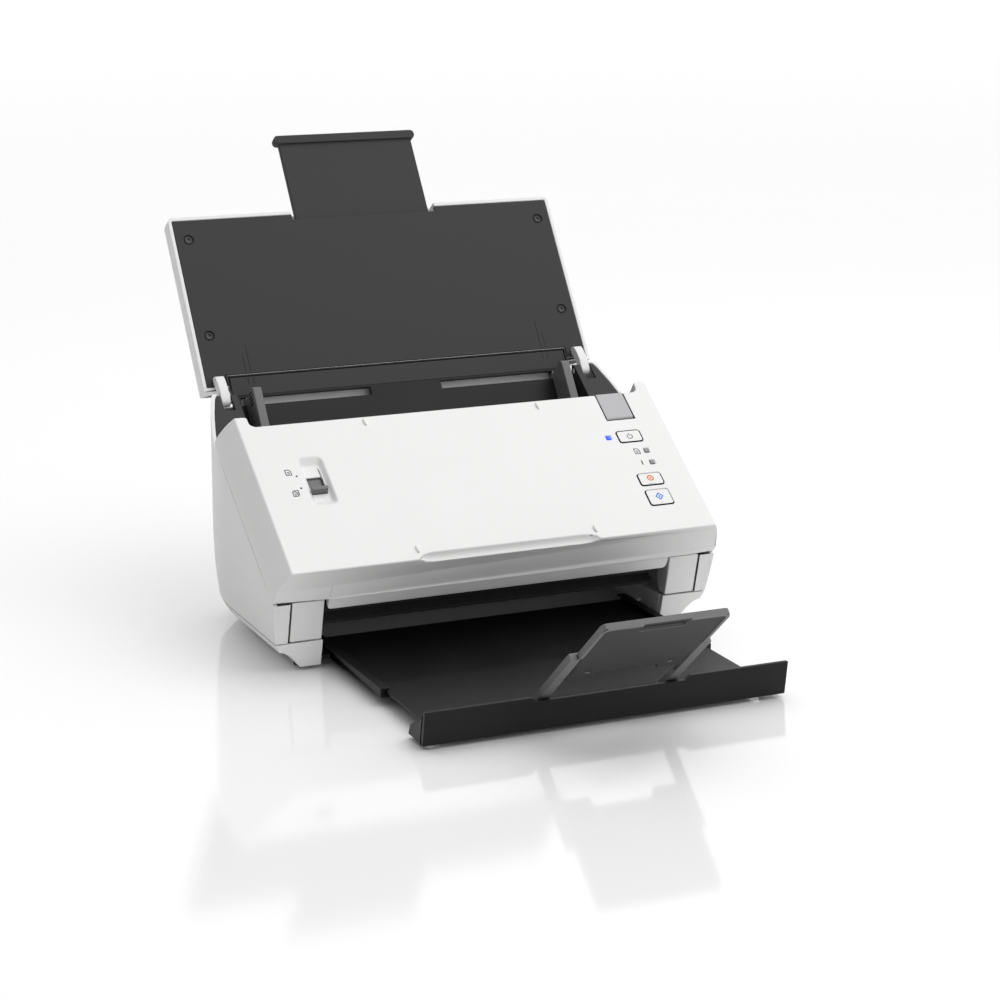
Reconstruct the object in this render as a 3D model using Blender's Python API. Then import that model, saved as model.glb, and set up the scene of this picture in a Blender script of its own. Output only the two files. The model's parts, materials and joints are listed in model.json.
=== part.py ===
"""Sheet-fed document scanner with folding input tray and telescoping output tray.

Metres, +Z up, the front faces -Y, at rest with both trays drawn out and the cover closed.
"""

import math

import bmesh
import bpy
from mathutils import Matrix, Vector

for old in list(bpy.data.objects):
    bpy.data.objects.remove(old, do_unlink=True)

# Clearances, walls and sheets
GAP = 0.0003
RUN = 0.0004
SEAM = 0.0006
WALL = 0.0025
SHEET = 0.0020
BOARD_SHEET = 0.0016
OVERCUT = 0.010

# Widths: the paper sets the edge guides, and these set the ramp, the frame and the shell
GUIDE_SPACING = 0.211
GUIDE_THICK = 0.0058
RAMP_MARGIN = 0.0071
SIDE_ROOM = 0.0297
FACE_INSET = 0.0072
FRAME_INSET = 0.0030
CHIN_INSET = 0.0023
BAY_INSET = 0.0009
BLOCK_WIDTH = 0.0203

# Shell
BODY_BEHIND = 0.0731
CURVE_LENGTH = 0.0654
SIDE_CURVE = 0.150
REAR_CORNER = 0.014
TOWER_ABOVE = 0.0069
TOWER_DROP = 0.0064
SIDE_TUCK = 0.0030
PANEL_FULL = 0.060
PANEL_EDGE = 0.0014
CASE_BOTTOM = 0.0024
CASE_TOP = 0.0190
COVE_TOP = 0.0138
COVE_INSET = 0.0060
COVE_FOOT = 0.0200
COVE_BEND = 0.0120
CASE_REAR_TUCK = 0.0060
LEDGE_WIDTH = 0.0028
LEDGE_Z = 0.0076
RAIL_START = 0.0115
RAIL_REAR = 0.0115
BAY_DEPTH = 0.0330

# Feet
FOOT_RADIUS = 0.006
FOOT_EDGE = 0.0006
FOOT_IN = 0.0265
FOOT_FRONT_Y = 0.022
FOOT_REAR_IN = 0.0365
FOOT_BEFORE = 0.0290

# Front cover: sloped face, chin and horns, measured along and normal to the face
FACE_ANGLE = math.radians(35.4)
CREASE_Y = -0.0151
CREASE_Z = 0.0681
FACE_LENGTH = 0.1166
HORN_LENGTH = 0.0085
HORN_WIDTH = 0.0080
HORN_SWEEP = 0.0040
HORN_ROUND = 0.0020
COVER_DEPTH = 0.0266
COVER_REAR_LEAN = 0.0043
CHIN_DEPTH = 0.0330
CHIN_LEAN = 0.1204
CHIN_RECEDE = 0.0031
CHIN_ROUND = 0.0020
CHIN_CORNER_Z = 0.0468
CHIN_STEP_Y = 0.0012
SCOOP_RADIUS = 0.0048
SCOOP_OUT = 0.0016
SCOOP_STRAIGHT = 0.0500
SCOOP_END = 0.0106

# Hinge blocks under the chin, and the lean that the body front shares with them
BLOCK_FRONT_Y = -0.0014
BLOCK_TOP = 0.0462
BLOCK_BOTTOM = 0.0200
BLOCK_REAR = 0.0080
FRONT_LEAN = math.tan(math.radians(13.8))
COVER_AXIS_Y = 0.008
COVER_AXIS_Z = 0.030
COVER_PIN = 0.003
COVER_PIN_LENGTH = 0.0060
BOSS_HALF = 0.0065
NECK_START = 0.0035
NECK_LENGTH = 0.0125
NECK_DEPTH = 0.0300
NECK_INSET = 0.0030

# Paper path, below the face and parallel to it
PATH_DEPTH = 0.0500
PATH_GAP = 0.0050
PATH_RUN_ON = 0.0198
PATH_BEND = 0.045
GUIDE_START = 0.0020
GUIDE_NARROW = 0.0215
GUIDE_FLARE = 0.0030
FRAME_START = 0.0300
FRAME_REAR_GAP = 0.0045
FRAME_SHOULDER = 0.080
FRAME_STEP = 0.005
INNER_GUIDE_INSET = 0.0039
INNER_START = 0.0030
INNER_RIM = 0.0140
INNER_BEND = 0.0030
INNER_TAIL = 0.0124

# Scan glass and sensor bars
GLASS_INSET = 0.0025
GLASS_BEFORE = 0.0275
GLASS_LENGTH = 0.0120
SENSOR_EDGE = 0.0030
SENSOR_HEIGHT = 0.0100

# Rollers, gear train and motor
TYRE_RADIUS = 0.007
TYRE_FROM = 0.030
TYRE_TO = 0.060
TYRE_ROOM = 0.0005
PINCH_RADIUS = 0.005
PINCH_INSET = 0.0020
PINCH_ROOM = 0.0010
PINCH_REACH = 0.0050
PICKUP_HALF = 0.018
PART_REACH = 0.0060
PIN_RADIUS = 0.002
FEED_DOWN = 0.0286
GEAR_MODULE = 0.0014
GEAR_TEETH = 20
SMALL_TEETH = 10
GEAR_SPACE = 0.0011
GEAR_WIDTH = 0.006
MOTOR_RADIUS = 0.0140
MOTOR_LENGTH = 0.0300
MOTOR_SHAFT = 0.0120

# Input tray, measured up its face from the lower corner and outward from it
TRAY_ANGLE = math.radians(55.1)
TRAY_BEHIND = 0.0777
TRAY_ABOVE = 0.0068
TRAY_SIDE = 0.0189
TRAY_LENGTH = 0.1247
TRAY_THICK = 0.0105
TRAY_RIM = 0.0027
TRAY_STEP = 0.0088
TRAY_CORNER = 0.004
TRAY_AXIS_BEHIND = 0.0671
TRAY_REST = 0.0008
LEG_CLEAR = 0.0008
FACE_POCKET = 0.0024
RECESS_RADIUS = 0.0036
RECESS_DEPTH = 0.0012
RECESS_IN = 0.0116
RECESS_AT = (0.0388, 0.1079)
ARM_CLEAR = 0.0056
ARM_WIDTH = 0.006
ARM_HUB = 0.0038
ARM_SWING = 0.0048
ARM_BACK = 0.0115
EXTENSION_WIDTH = 0.096
EXTENSION_LOW = 0.072
EXTENSION_REACH = 0.0575
EXTENSION_TRAVEL = 0.057
EXTENSION_UNDER = 0.0064
EXTENSION_OVER = 0.0030
BAR_LENGTH = 0.0062
BAR_OVERHANG = 0.0030
BAR_UNDER = 0.0078
BAR_OVER = 0.0014
BAR_ROUND = 0.0028

# Side trim beside the ramp
TRIM_LENGTH = 0.0425
TRIM_FOOT_DROP = 0.0375
TRIM_SLOT_DROP = 0.0175

# Ramp and edge guides
RAMP_SHEET = 0.0025
RAMP_NICK = 0.0005
RAMP_NICK_AT = -0.0050
HOOD_DEPTH = 0.0085
HOOD_WALL = 0.0018
GUIDE_HEIGHT = 0.019
GUIDE_CLEAR = 0.0045
GUIDE_HIGH = -0.0064
GUIDE_LEAN = 0.0028
GUIDE_CREST = 0.0020
GUIDE_PINION_AT = -0.009
GUIDE_STEM = 0.0023
GUIDE_IN = 0.078
GUIDE_OUT = 0.003
RACK_MODULE = 0.001
RACK_TEETH = 12
RACK_THICK = 0.003
RACK_BACK = 0.0030
SLOT_RUN_ON = 0.0057

# Ports and boards
BOARD_Z = 0.0220
BOARD_REAR_GAP = 0.0030
BOARD_DEPTH = 0.0165
BOARD_LEFT = 0.1100
BOARD_RIGHT = 0.0560
BOARD_POST = 0.0028
BOARD_POST_IN = 0.0060
INLET_X = -0.100
INLET_SIZE = 0.011
INLET_SOCKET = 0.0034
INLET_PIN = 0.0010
USB_X = -0.070
USB_WIDTH = 0.012
USB_HEIGHT = 0.0105
USB_MOUTH = 0.0090
USB_NECK = 0.0056
USB_RIM = 0.0012
PORT_DEPTH = 0.0140
PORT_HOLE = 0.0090
BUTTON_BOARD_DEPTH = 0.0062
BUTTON_BOARD_HALF = 0.0180
BUTTON_BOARD_NECK = 0.0025
BUTTON_BOARD_LEVER = 0.0015
BOARD_PEG = 0.0020

# Output tray
LIP_CLEAR = 0.0008
LIP_FRONT = -0.151
LIP_TOP = 0.0229
LIP_LEAN = 0.0030
LIP_THICK = 0.0030
LIP_DIP = 0.0026
LIP_DIP_HALF = 0.0470
LIP_DIP_SLOPE = 0.0040
CHEEK_LENGTH = 0.0255
STAGE_ONE_FRONT = -0.0705
STAGE_ONE_REAR = 0.045
STAGE_ONE_INSET = 0.0068
STAGE_ONE_WING = 0.0120
STAGE_RAIL = 0.003
STAGE_HOLD = 0.0012
STAGE_TWO_REAR = -0.056

# Stopper at the end of the output tray, measured along its arms and towards its front
STOP_ANGLE = math.radians(40.7)
STOP_AXIS_Y = -0.1335
STOP_AXIS_Z = 0.0135
STOP_ROD = 0.0014
STOP_ARM = 0.0660
STOP_ARM_WIDTH = 0.0065
STOP_SPAN = 0.0870
STOP_BACK = 0.0010
STOP_FRONT = 0.0034
STOP_EAR_HALF = 0.0050
STOP_EAR_RISE = 0.0028
PLATE_START = 0.0372
PLATE_TAB = 0.0160
PLATE_STEP = 0.0060
PLATE_REACH = 0.1050
PLATE_SPREAD = 0.0020
PLATE_THICK = 0.0036
PLATE_ROUND = 0.0030
PLATE_TRAVEL = 0.013
PLATE_TONGUE = 0.0012
PLATE_TONGUE_AT = 0.0008
GRIP_HALF = 0.0140
GRIP_LENGTH = 0.0072
GRIP_RIM = 0.0022
GRIP_DEPTH = 0.0022

# Controls on the face: shares are of the face length
CONTROLS_X = 0.1119
LEVER_DOWN = 0.0110
LEVER_WIDTH = 0.0190
LEVER_LENGTH = 0.0222
POWER_SHARE = 0.6784
POWER_WIDTH = 0.0158
POWER_LENGTH = 0.0088
HALT_SHARE = 0.3636
HALT_LENGTH = 0.0091
START_SHARE = 0.2333
START_LENGTH = 0.0119
KEY_WIDTH = 0.0155
LED_IN = 0.0147
LED_OUT = 0.0070
LED_POWER_SHARE = 0.6835
LED_UPPER_SHARE = 0.5686
LED_LOWER_SHARE = 0.4828
PEG_IN = 0.0174
PEG_OUT = 0.0126
PEG_EDGE = 0.0030
PEG_SHARE = 0.4117
LED_SIZE = 0.0028
BUTTON_ROUND = 0.0014
BUTTON_FLANGE = 0.0012
BUTTON_TRAVEL = 0.0007
BUTTON_STEM = 0.0015
LEVER_TAIL = 0.0085
LEVER_NOSE = 0.0023
LEVER_AXIS_DEPTH = 0.0022
LEVER_PIN = 0.0012
LEVER_PIN_REACH = 0.0019
SELECTOR_X = -0.1039
SELECTOR_SHARE = 0.5901
SELECTOR_WIDTH = 0.0162
SELECTOR_LENGTH = 0.0397
DISH_DEPTH = 0.0034
DISH_WALL = 0.0012
DISH_ROUND = 0.004
DISH_SLOPE = 0.005
DISH_SIDE = 0.002
KNOB_BELOW = 0.0058
KNOB_LENGTH = 0.0032
KNOB_CROWN = 0.0024
KNOB_ROUND = 0.0006
KNOB_RISE = 0.0004
KNOB_PLATE = 0.0012
KNOB_LAP = 0.0012
KNOB_TRAVEL = 0.0093

# Controls: centre x, centre along the face, width, length
LEVER = (CONTROLS_X, FACE_LENGTH - LEVER_DOWN, LEVER_WIDTH, LEVER_LENGTH)
POWER = (CONTROLS_X, FACE_LENGTH * POWER_SHARE, POWER_WIDTH, POWER_LENGTH)
STOP = (CONTROLS_X, FACE_LENGTH * HALT_SHARE, KEY_WIDTH, HALT_LENGTH)
START = (CONTROLS_X, FACE_LENGTH * START_SHARE, KEY_WIDTH, START_LENGTH)
SELECTOR = (SELECTOR_X, FACE_LENGTH * SELECTOR_SHARE, SELECTOR_WIDTH, SELECTOR_LENGTH)
LEDS = ((CONTROLS_X - LED_IN, FACE_LENGTH * LED_POWER_SHARE),
        (CONTROLS_X + LED_OUT, FACE_LENGTH * LED_UPPER_SHARE),
        (CONTROLS_X + LED_OUT, FACE_LENGTH * LED_LOWER_SHARE))
BUTTON_BOARD_HIGH = LEVER[1] - LEVER_LENGTH / 2 - BUTTON_BOARD_LEVER
BUTTON_BOARD_LOW = NECK_START + NECK_LENGTH + BUTTON_BOARD_NECK
PEGS = ((CONTROLS_X - PEG_IN, BUTTON_BOARD_LOW + PEG_EDGE), (CONTROLS_X + PEG_OUT, FACE_LENGTH * PEG_SHARE),
        (CONTROLS_X - PEG_IN, BUTTON_BOARD_HIGH - PEG_EDGE))

# Sizes that follow from those above
FACE_TOP_Y = CREASE_Y + FACE_LENGTH * math.cos(FACE_ANGLE)
FACE_TOP_Z = CREASE_Z + FACE_LENGTH * math.sin(FACE_ANGLE)
BODY_REAR = FACE_TOP_Y + BODY_BEHIND
SIDE_CURVE_START = BODY_REAR - CURVE_LENGTH
TOWER_TOP = FACE_TOP_Z + TOWER_ABOVE
FOOT_REAR_Y = BODY_REAR - FOOT_BEFORE
TRAY_Y = FACE_TOP_Y + TRAY_BEHIND
TRAY_Z = FACE_TOP_Z + TRAY_ABOVE
TRAY_AXIS_Y = FACE_TOP_Y + TRAY_AXIS_BEHIND
TRIM_FOOT = TOWER_TOP - TRIM_FOOT_DROP
TRIM_SLOT_Z = TOWER_TOP - TRIM_SLOT_DROP
FEED_AT = FACE_LENGTH - FEED_DOWN
GLASS_AT = FEED_AT - GLASS_BEFORE
KNOB_AT = SELECTOR[1] - KNOB_BELOW
RAMP_HALF = GUIDE_SPACING / 2 + GUIDE_THICK + RAMP_MARGIN
HALF = RAMP_HALF + SIDE_ROOM
FACE_HALF = HALF - FACE_INSET
KNOB_HALF = SELECTOR[2] / 2 - DISH_SIDE - 2 * RUN
KNOB_REACH = KNOB_LENGTH / 2 + RUN + KNOB_TRAVEL + KNOB_LAP
BEND_LENGTH = PATH_BEND * math.tan((TRAY_ANGLE - FACE_ANGLE) / 2)
FRAME_INNER = RAMP_HALF - FRAME_INSET
FRAME_OUTER = FRAME_INNER + SHEET
BLOCK_INNER = FRAME_INNER + GAP
BLOCK_OUTER = BLOCK_INNER + BLOCK_WIDTH
CHIN_HALF = BLOCK_INNER - CHIN_INSET
BAY_HALF = BLOCK_INNER - BAY_INSET
INNER_HALF = FRAME_INNER - INNER_GUIDE_INSET
GLASS_HALF = INNER_HALF - GLASS_INSET
GLASS_FROM = GLASS_AT - GLASS_LENGTH / 2
GLASS_TO = GLASS_AT + GLASS_LENGTH / 2
TRIM_INNER = RAMP_HALF + SEAM
LEG_INNER = RAMP_HALF + LEG_CLEAR
ARM_INNER = RAMP_HALF + ARM_CLEAR
ARM_OUTER = ARM_INNER + ARM_WIDTH
TRAY_HALF = RAMP_HALF + TRAY_SIDE
LIP_HALF = BAY_HALF - LIP_CLEAR
STAGE_ONE_HALF = BAY_HALF - STAGE_ONE_INSET
STAGE_TWO_HALF = STAGE_ONE_HALF - STAGE_RAIL - RUN
FLOOR_TOP = CASE_BOTTOM + WALL
RAIL_TOP = CASE_TOP - SEAM
PANEL_LOW = CASE_TOP + SEAM
STAGE_ONE_LOW = FLOOR_TOP + GAP
STAGE_ONE_TOP = STAGE_ONE_LOW + SHEET
STAGE_TWO_LOW = STAGE_ONE_TOP + GAP
STAGE_TWO_TOP = STAGE_TWO_LOW + SHEET
HORN_END = FACE_LENGTH + HORN_LENGTH
PATH_END = FACE_LENGTH + PATH_RUN_ON
UPPER_PATH = -PATH_DEPTH + PATH_GAP / 2
LOWER_PATH = -PATH_DEPTH - PATH_GAP / 2
ROLLER_DEPTH = -PATH_DEPTH - TYRE_RADIUS
PINCH_DEPTH = -PATH_DEPTH + PINCH_RADIUS + GAP
PART_DEPTH = -PATH_DEPTH + TYRE_RADIUS + GAP
SHAFT_RADIUS = TYRE_RADIUS - PATH_GAP / 2 - SHEET - SEAM
PINCH_SLOT = TYRE_TO + PINCH_REACH
GEAR_RADIUS = GEAR_MODULE * GEAR_TEETH / 2
SMALL_RADIUS = GEAR_MODULE * SMALL_TEETH / 2
GEAR_SIDE = FRAME_OUTER + GEAR_SPACE
IDLER_AT = FEED_AT - 2 * GEAR_RADIUS
EXIT_AT = FEED_AT - 4 * GEAR_RADIUS
SMALL_IDLER_AT = FEED_AT + GEAR_RADIUS + SMALL_RADIUS
PICKUP_AT = FEED_AT + 2 * GEAR_RADIUS + 2 * SMALL_RADIUS
MOTOR_DEPTH = ROLLER_DEPTH - GEAR_RADIUS - SMALL_RADIUS
MOTOR_FACE = FRAME_INNER - RUN
RACK_RADIUS = RACK_MODULE * RACK_TEETH / 2
RACK_TOP = -RAMP_SHEET - 2 * GAP
RACK_LOW = RACK_TOP - RACK_THICK
TRAY_CLOSED_Z = TOWER_TOP + TRAY_REST
TRAY_AXIS_Z = (
    TRAY_CLOSED_Z - math.sin(TRAY_ANGLE) * (TRAY_Y - TRAY_AXIS_Y) + math.cos(TRAY_ANGLE) * TRAY_Z
) / (1 + math.cos(TRAY_ANGLE))
TOWER_STEP = COVER_DEPTH + TOWER_DROP
BAR_HALF = EXTENSION_WIDTH / 2 + BAR_OVERHANG
BAR_SEAT = TRAY_LENGTH + EXTENSION_REACH - BAR_LENGTH - EXTENSION_TRAVEL - SEAM
LEVER_AXIS = (LEVER[1] - LEVER[3] / 2 + LEVER_NOSE, -LEVER_AXIS_DEPTH)
BOARD_REAR = BODY_REAR - WALL - BOARD_REAR_GAP
BOARD_FRONT = BOARD_REAR - BOARD_DEPTH
BUTTON_BOARD_TOP = -BUTTON_BOARD_DEPTH
PORT_Z = BOARD_Z + BOARD_SHEET + GAP
PORT_REAR = BODY_REAR - GAP
STOP_HALF = STOP_SPAN / 2
STOP_INNER = STOP_HALF - STOP_ARM_WIDTH
FOOT_FRONT_X = HALF - FOOT_IN
FOOT_REAR_X = HALF - FOOT_REAR_IN

FACE = Matrix.Translation((0, CREASE_Y, CREASE_Z)) @ Matrix.Rotation(FACE_ANGLE, 4, "X")
TRAY = Matrix.Translation((0, TRAY_Y, TRAY_Z)) @ Matrix.Rotation(TRAY_ANGLE, 4, "X")
STOPPER = Matrix.Translation((0, STOP_AXIS_Y, STOP_AXIS_Z)) @ Matrix.Rotation(math.pi - STOP_ANGLE, 4, "X")
WORLD = Matrix.Identity(4)

# Finishes: colour, roughness, metallic
WHITE = ((0.86, 0.86, 0.84), 0.45, 0.0)
DARK = ((0.055, 0.055, 0.055), 0.55, 0.0)
BLACK = ((0.018, 0.018, 0.018), 0.50, 0.0)
GREY = ((0.17, 0.17, 0.17), 0.50, 0.0)
SILVER = ((0.52, 0.52, 0.52), 0.38, 0.0)
RUBBER = ((0.030, 0.030, 0.030), 0.85, 0.0)
STEEL = ((0.55, 0.55, 0.56), 0.35, 1.0)
GLASS = ((0.60, 0.68, 0.70), 0.08, 0.0)
BOARD = ((0.03, 0.18, 0.07), 0.55, 0.0)
NYLON = ((0.75, 0.74, 0.70), 0.50, 0.0)
BLUE_LENS = ((0.03, 0.10, 0.90), 0.15, 0.0)
DARK_LENS = ((0.05, 0.05, 0.06), 0.15, 0.0)


# Small shape tools


def arc(centre, radius, start, end, steps):
    """Points of an arc, both ends included."""
    turns = [start + (end - start) * k / steps for k in range(steps + 1)]
    return [(centre[0] + radius * math.cos(a), centre[1] + radius * math.sin(a)) for a in turns]


def rectangle(left, low, right, high):
    return [(left, low), (right, low), (right, high), (left, high)]


def rounded(left, low, right, high, radius, steps=3):
    """Outline of a rectangle with round corners."""
    quarter = math.pi / 2
    points = []
    for turn, (x, y) in enumerate(
        ((right - radius, high - radius), (left + radius, high - radius),
         (left + radius, low + radius), (right - radius, low + radius))
    ):
        points += arc((x, y), radius, turn * quarter, (turn + 1) * quarter, steps)
    return points


def skin(rings, closed=False):
    """A closed surface through rings of equal count, with end caps unless it closes on itself."""
    shape = bmesh.new()
    loops = [[shape.verts.new(point) for point in ring] for ring in rings]
    pairs = list(zip(loops, loops[1:]))
    if closed:
        pairs.append((loops[-1], loops[0]))
    else:
        shape.faces.new(loops[0])
        shape.faces.new(loops[-1])
    for first, second in pairs:
        count = len(first)
        for k in range(count):
            after = (k + 1) % count
            shape.faces.new((first[k], first[after], second[after], second[k]))
    bmesh.ops.recalc_face_normals(shape, faces=shape.faces)
    return shape


def prism(outline, low, high, axis="X"):
    """An outline pulled straight along one axis."""
    place = {
        "X": lambda a, b, along: (along, a, b),
        "Y": lambda a, b, along: (a, along, b),
        "Z": lambda a, b, along: (a, b, along),
    }[axis]
    return skin([[place(a, b, along) for a, b in outline] for along in (low, high)])


def block(x, y, z):
    """A box given by its two limits on each axis."""
    return prism(rectangle(x[0], y[0], x[1], y[1]), z[0], z[1], "Z")


def turned(profile, steps=20):
    """A round solid along X from (x, radius) pairs."""
    rings = []
    for x, radius in profile:
        rings.append([(x, y, z) for y, z in arc((0, 0), radius, 0, math.tau * (1 - 1 / steps), steps - 1)])
    return skin(rings)


def upright(radius, low, high, steps=16):
    """A cylinder along Z."""
    return prism(arc((0, 0), radius, 0, math.tau * (1 - 1 / steps), steps - 1), low, high, "Z")


def at(shape, x, y, z):
    bmesh.ops.translate(shape, vec=(x, y, z), verts=shape.verts)
    return shape


def mirrored(points, side):
    return [(side * x, y) for x, y in points]


def gear(teeth, module, low, high, bore=0.0, phase=0.0):
    """A spur gear along X, with a tooth centred on +Y when phase is 0."""
    radius = module * teeth / 2
    pitch = math.tau / teeth
    flank = ((-0.30, radius - 1.2 * module), (-0.12, radius + 0.9 * module),
             (0.12, radius + 0.9 * module), (0.30, radius - 1.2 * module))
    rim = []
    for tooth in range(teeth):
        for share, reach in flank:
            angle = phase + (tooth + share) * pitch
            rim.append((reach * math.cos(angle), reach * math.sin(angle)))
    shape = prism(rim, low, high)
    if not bore:
        return shape
    bmesh.ops.delete(shape, geom=[f for f in shape.faces if len(f.verts) > 4], context="FACES_ONLY")
    hole = [(bore * math.cos(phase + (k - 0.30) * pitch), bore * math.sin(phase + (k - 0.30) * pitch))
            for k in range(teeth)]
    count = len(rim)
    corners = list(shape.verts)
    inner = [[shape.verts.new((x, y, z)) for y, z in hole] for x in (low, high)]
    for end in range(2):
        for tooth in range(teeth):
            spot = [corners[end * count + (4 * tooth + k) % count] for k in range(5)]
            shape.faces.new(spot + [inner[end][(tooth + 1) % teeth], inner[end][tooth]])
    for tooth in range(teeth):
        after = (tooth + 1) % teeth
        shape.faces.new((inner[0][tooth], inner[0][after], inner[1][after], inner[1][tooth]))
    bmesh.ops.recalc_face_normals(shape, faces=shape.faces)
    return shape


def bend(first, corner, last, steps=4):
    """Points of a smooth bend that leaves one straight line and joins another."""
    points = []
    for k in range(steps + 1):
        a = k / steps
        points.append(tuple(
            (1 - a) ** 2 * p + 2 * a * (1 - a) * q + a * a * r for p, q, r in zip(first, corner, last)
        ))
    return points


def flat(frame, points):
    """(along, out) points of a sloped frame as (y, z) points."""
    placed = [frame @ Vector((0, a, b)) for a, b in points]
    return [(p.y, p.z) for p in placed]


def finish(name, look):
    colour, roughness, metallic = look
    material = bpy.data.materials.new(name)
    material.use_nodes = True
    surface = material.node_tree.nodes["Principled BSDF"]
    surface.inputs["Base Color"].default_value = (*colour, 1)
    surface.inputs["Roughness"].default_value = roughness
    surface.inputs["Metallic"].default_value = metallic
    return material


def loose(name, shape, frame):
    mesh = bpy.data.meshes.new(name)
    shape.transform(frame)
    shape.to_mesh(mesh)
    shape.free()
    thing = bpy.data.objects.new(name, mesh)
    bpy.context.collection.objects.link(thing)
    return thing


def piece(name, look, shape, frame=WORLD):
    """One sub-part, built in place."""
    thing = loose(name, shape, frame)
    thing.data.materials.append(finish(name, look))
    return thing


def combine(thing, operation, shape, frame=WORLD):
    tool = loose("tool", shape, frame)
    change = thing.modifiers.new("shape", "BOOLEAN")
    change.operation = operation
    change.solver = "EXACT"
    change.object = tool
    graph = bpy.context.evaluated_depsgraph_get()
    result = bpy.data.meshes.new_from_object(thing.evaluated_get(graph))
    thing.modifiers.remove(change)
    before = thing.data
    thing.data = result
    bpy.data.meshes.remove(before)
    spent = tool.data
    bpy.data.objects.remove(tool)
    bpy.data.meshes.remove(spent)
    result.name = thing.name


def cut(thing, *shapes, frame=WORLD):
    for shape in shapes:
        combine(thing, "DIFFERENCE", shape, frame)


def join(thing, *shapes, frame=WORLD):
    for shape in shapes:
        combine(thing, "UNION", shape, frame)


def keep(thing, shape, frame=WORLD):
    combine(thing, "INTERSECT", shape, frame)


# Outlines that several pieces share


def both(points):
    """A right half outline and its mirror image as one outline."""
    return points + [(-x, y) for x, y in reversed(points)]


def span(side, near, far):
    """Two x limits on one side of the middle, in order."""
    return sorted((side * near, side * far))


def side_path(inset, start):
    """Right edge of the shell seen from above, from the front to the rear wall."""
    half = HALF - inset
    curve = SIDE_CURVE - inset
    corner = max(REAR_CORNER - inset, SEAM)
    turn = math.asin((BODY_REAR - SIDE_CURVE_START - REAR_CORNER) / (SIDE_CURVE - REAR_CORNER))
    middle = (half - curve + (curve - corner) * math.cos(turn),
              SIDE_CURVE_START + (curve - corner) * math.sin(turn))
    path = [(half, start)]
    path += arc((half - curve, SIDE_CURVE_START), curve, 0, turn, 5)
    path += arc(middle, corner, turn, math.pi / 2, 5)[1:]
    return path


def front_y(z):
    """The leaning front of the blocks and of the body."""
    return BLOCK_FRONT_Y + (BLOCK_TOP - z) * FRONT_LEAN


def side_inset(z):
    """How far the side is tucked in at a height."""
    share = max(0.0, PANEL_FULL - z) / (PANEL_FULL - PANEL_LOW)
    return SIDE_TUCK * share ** 2


def rear_of_cover(depth):
    return HORN_END - depth * COVER_REAR_LEAN / COVER_DEPTH


def hole(radius, length, steps=16):
    """A round cutter along X, centred on the origin."""
    return turned([(-length / 2, radius), (length / 2, radius)], steps)


# Base


def case_ring(inset, z, wall=0.0):
    """One level of the lower case: the cove draws its sides in more than its rear."""
    share = (CASE_TOP - z) / (CASE_TOP - CASE_BOTTOM)
    rear = BODY_REAR - side_inset(CASE_TOP) - CASE_REAR_TUCK * share - wall
    path = side_path(inset + wall, front_y(z) + wall)
    stretch = (rear - SIDE_CURVE_START) / (path[-1][1] - SIDE_CURVE_START)
    level = []
    for x, y in path:
        if y > SIDE_CURVE_START:
            y = SIDE_CURVE_START + (y - SIDE_CURVE_START) * stretch
        level.append((x, y))
    return both(level)


def bottom_case():
    cove = bend((COVE_INSET, COVE_TOP), (COVE_BEND, COVE_TOP), (COVE_FOOT, CASE_BOTTOM))
    levels = [(side_inset(CASE_TOP), CASE_TOP)] + cove
    rings = [[(x, y, z) for x, y in case_ring(inset, z)] for inset, z in levels]
    case = piece("bottom_case", WHITE, skin(rings))
    rings = [[(x, y, CASE_TOP + WALL) for x, y in case_ring(side_inset(CASE_TOP), CASE_TOP, WALL)]]
    rings += [[(x, y, z + WALL) for x, y in case_ring(inset, z, WALL)] for inset, z in cove]
    cut(case, skin(rings))
    cut(case, block((-BAY_HALF, BAY_HALF), (-OVERCUT, BAY_DEPTH), (-OVERCUT, CASE_TOP + OVERCUT)))
    rail_end = BODY_REAR - RAIL_REAR
    rail = rectangle(BAY_HALF + GAP, CASE_BOTTOM + GAP, BAY_HALF + GAP + SHEET, RAIL_TOP)
    ledge = rectangle(BAY_HALF - LEDGE_WIDTH, LEDGE_Z, BAY_HALF + SHEET, LEDGE_Z + BOARD_SHEET)
    for side in (-1, 1):
        join(case, prism(mirrored(rail, side), RAIL_START, rail_end, "Y"))
        join(case, prism(mirrored(ledge, side), BAY_DEPTH + WALL, rail_end - SHEET, "Y"))
    middle = (BOARD_RIGHT - BOARD_LEFT) / 2
    for x in (BOARD_POST_IN - BOARD_LEFT, middle, BOARD_RIGHT - BOARD_POST_IN):
        post = upright(BOARD_POST, FLOOR_TOP - SHEET / 2, BOARD_Z - GAP, 10)
        join(case, at(post, x, BOARD_FRONT + BOARD_POST_IN, 0))
    return case


def foot(name, x, y):
    levels = ((0, FOOT_RADIUS - FOOT_EDGE), (FOOT_EDGE, FOOT_RADIUS), (CASE_BOTTOM - GAP, FOOT_RADIUS))
    rings = []
    for z, radius in levels:
        rings.append([(a, b, z) for a, b in arc((x, y), radius, 0, math.tau * 15 / 16, 15)])
    return piece(name, RUBBER, skin(rings))


def feet():
    return [
        foot("foot_front_left", -FOOT_FRONT_X, FOOT_FRONT_Y),
        foot("foot_front_right", FOOT_FRONT_X, FOOT_FRONT_Y),
        foot("foot_rear_left", -FOOT_REAR_X, FOOT_REAR_Y),
        foot("foot_rear_right", FOOT_REAR_X, FOOT_REAR_Y),
    ]


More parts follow.
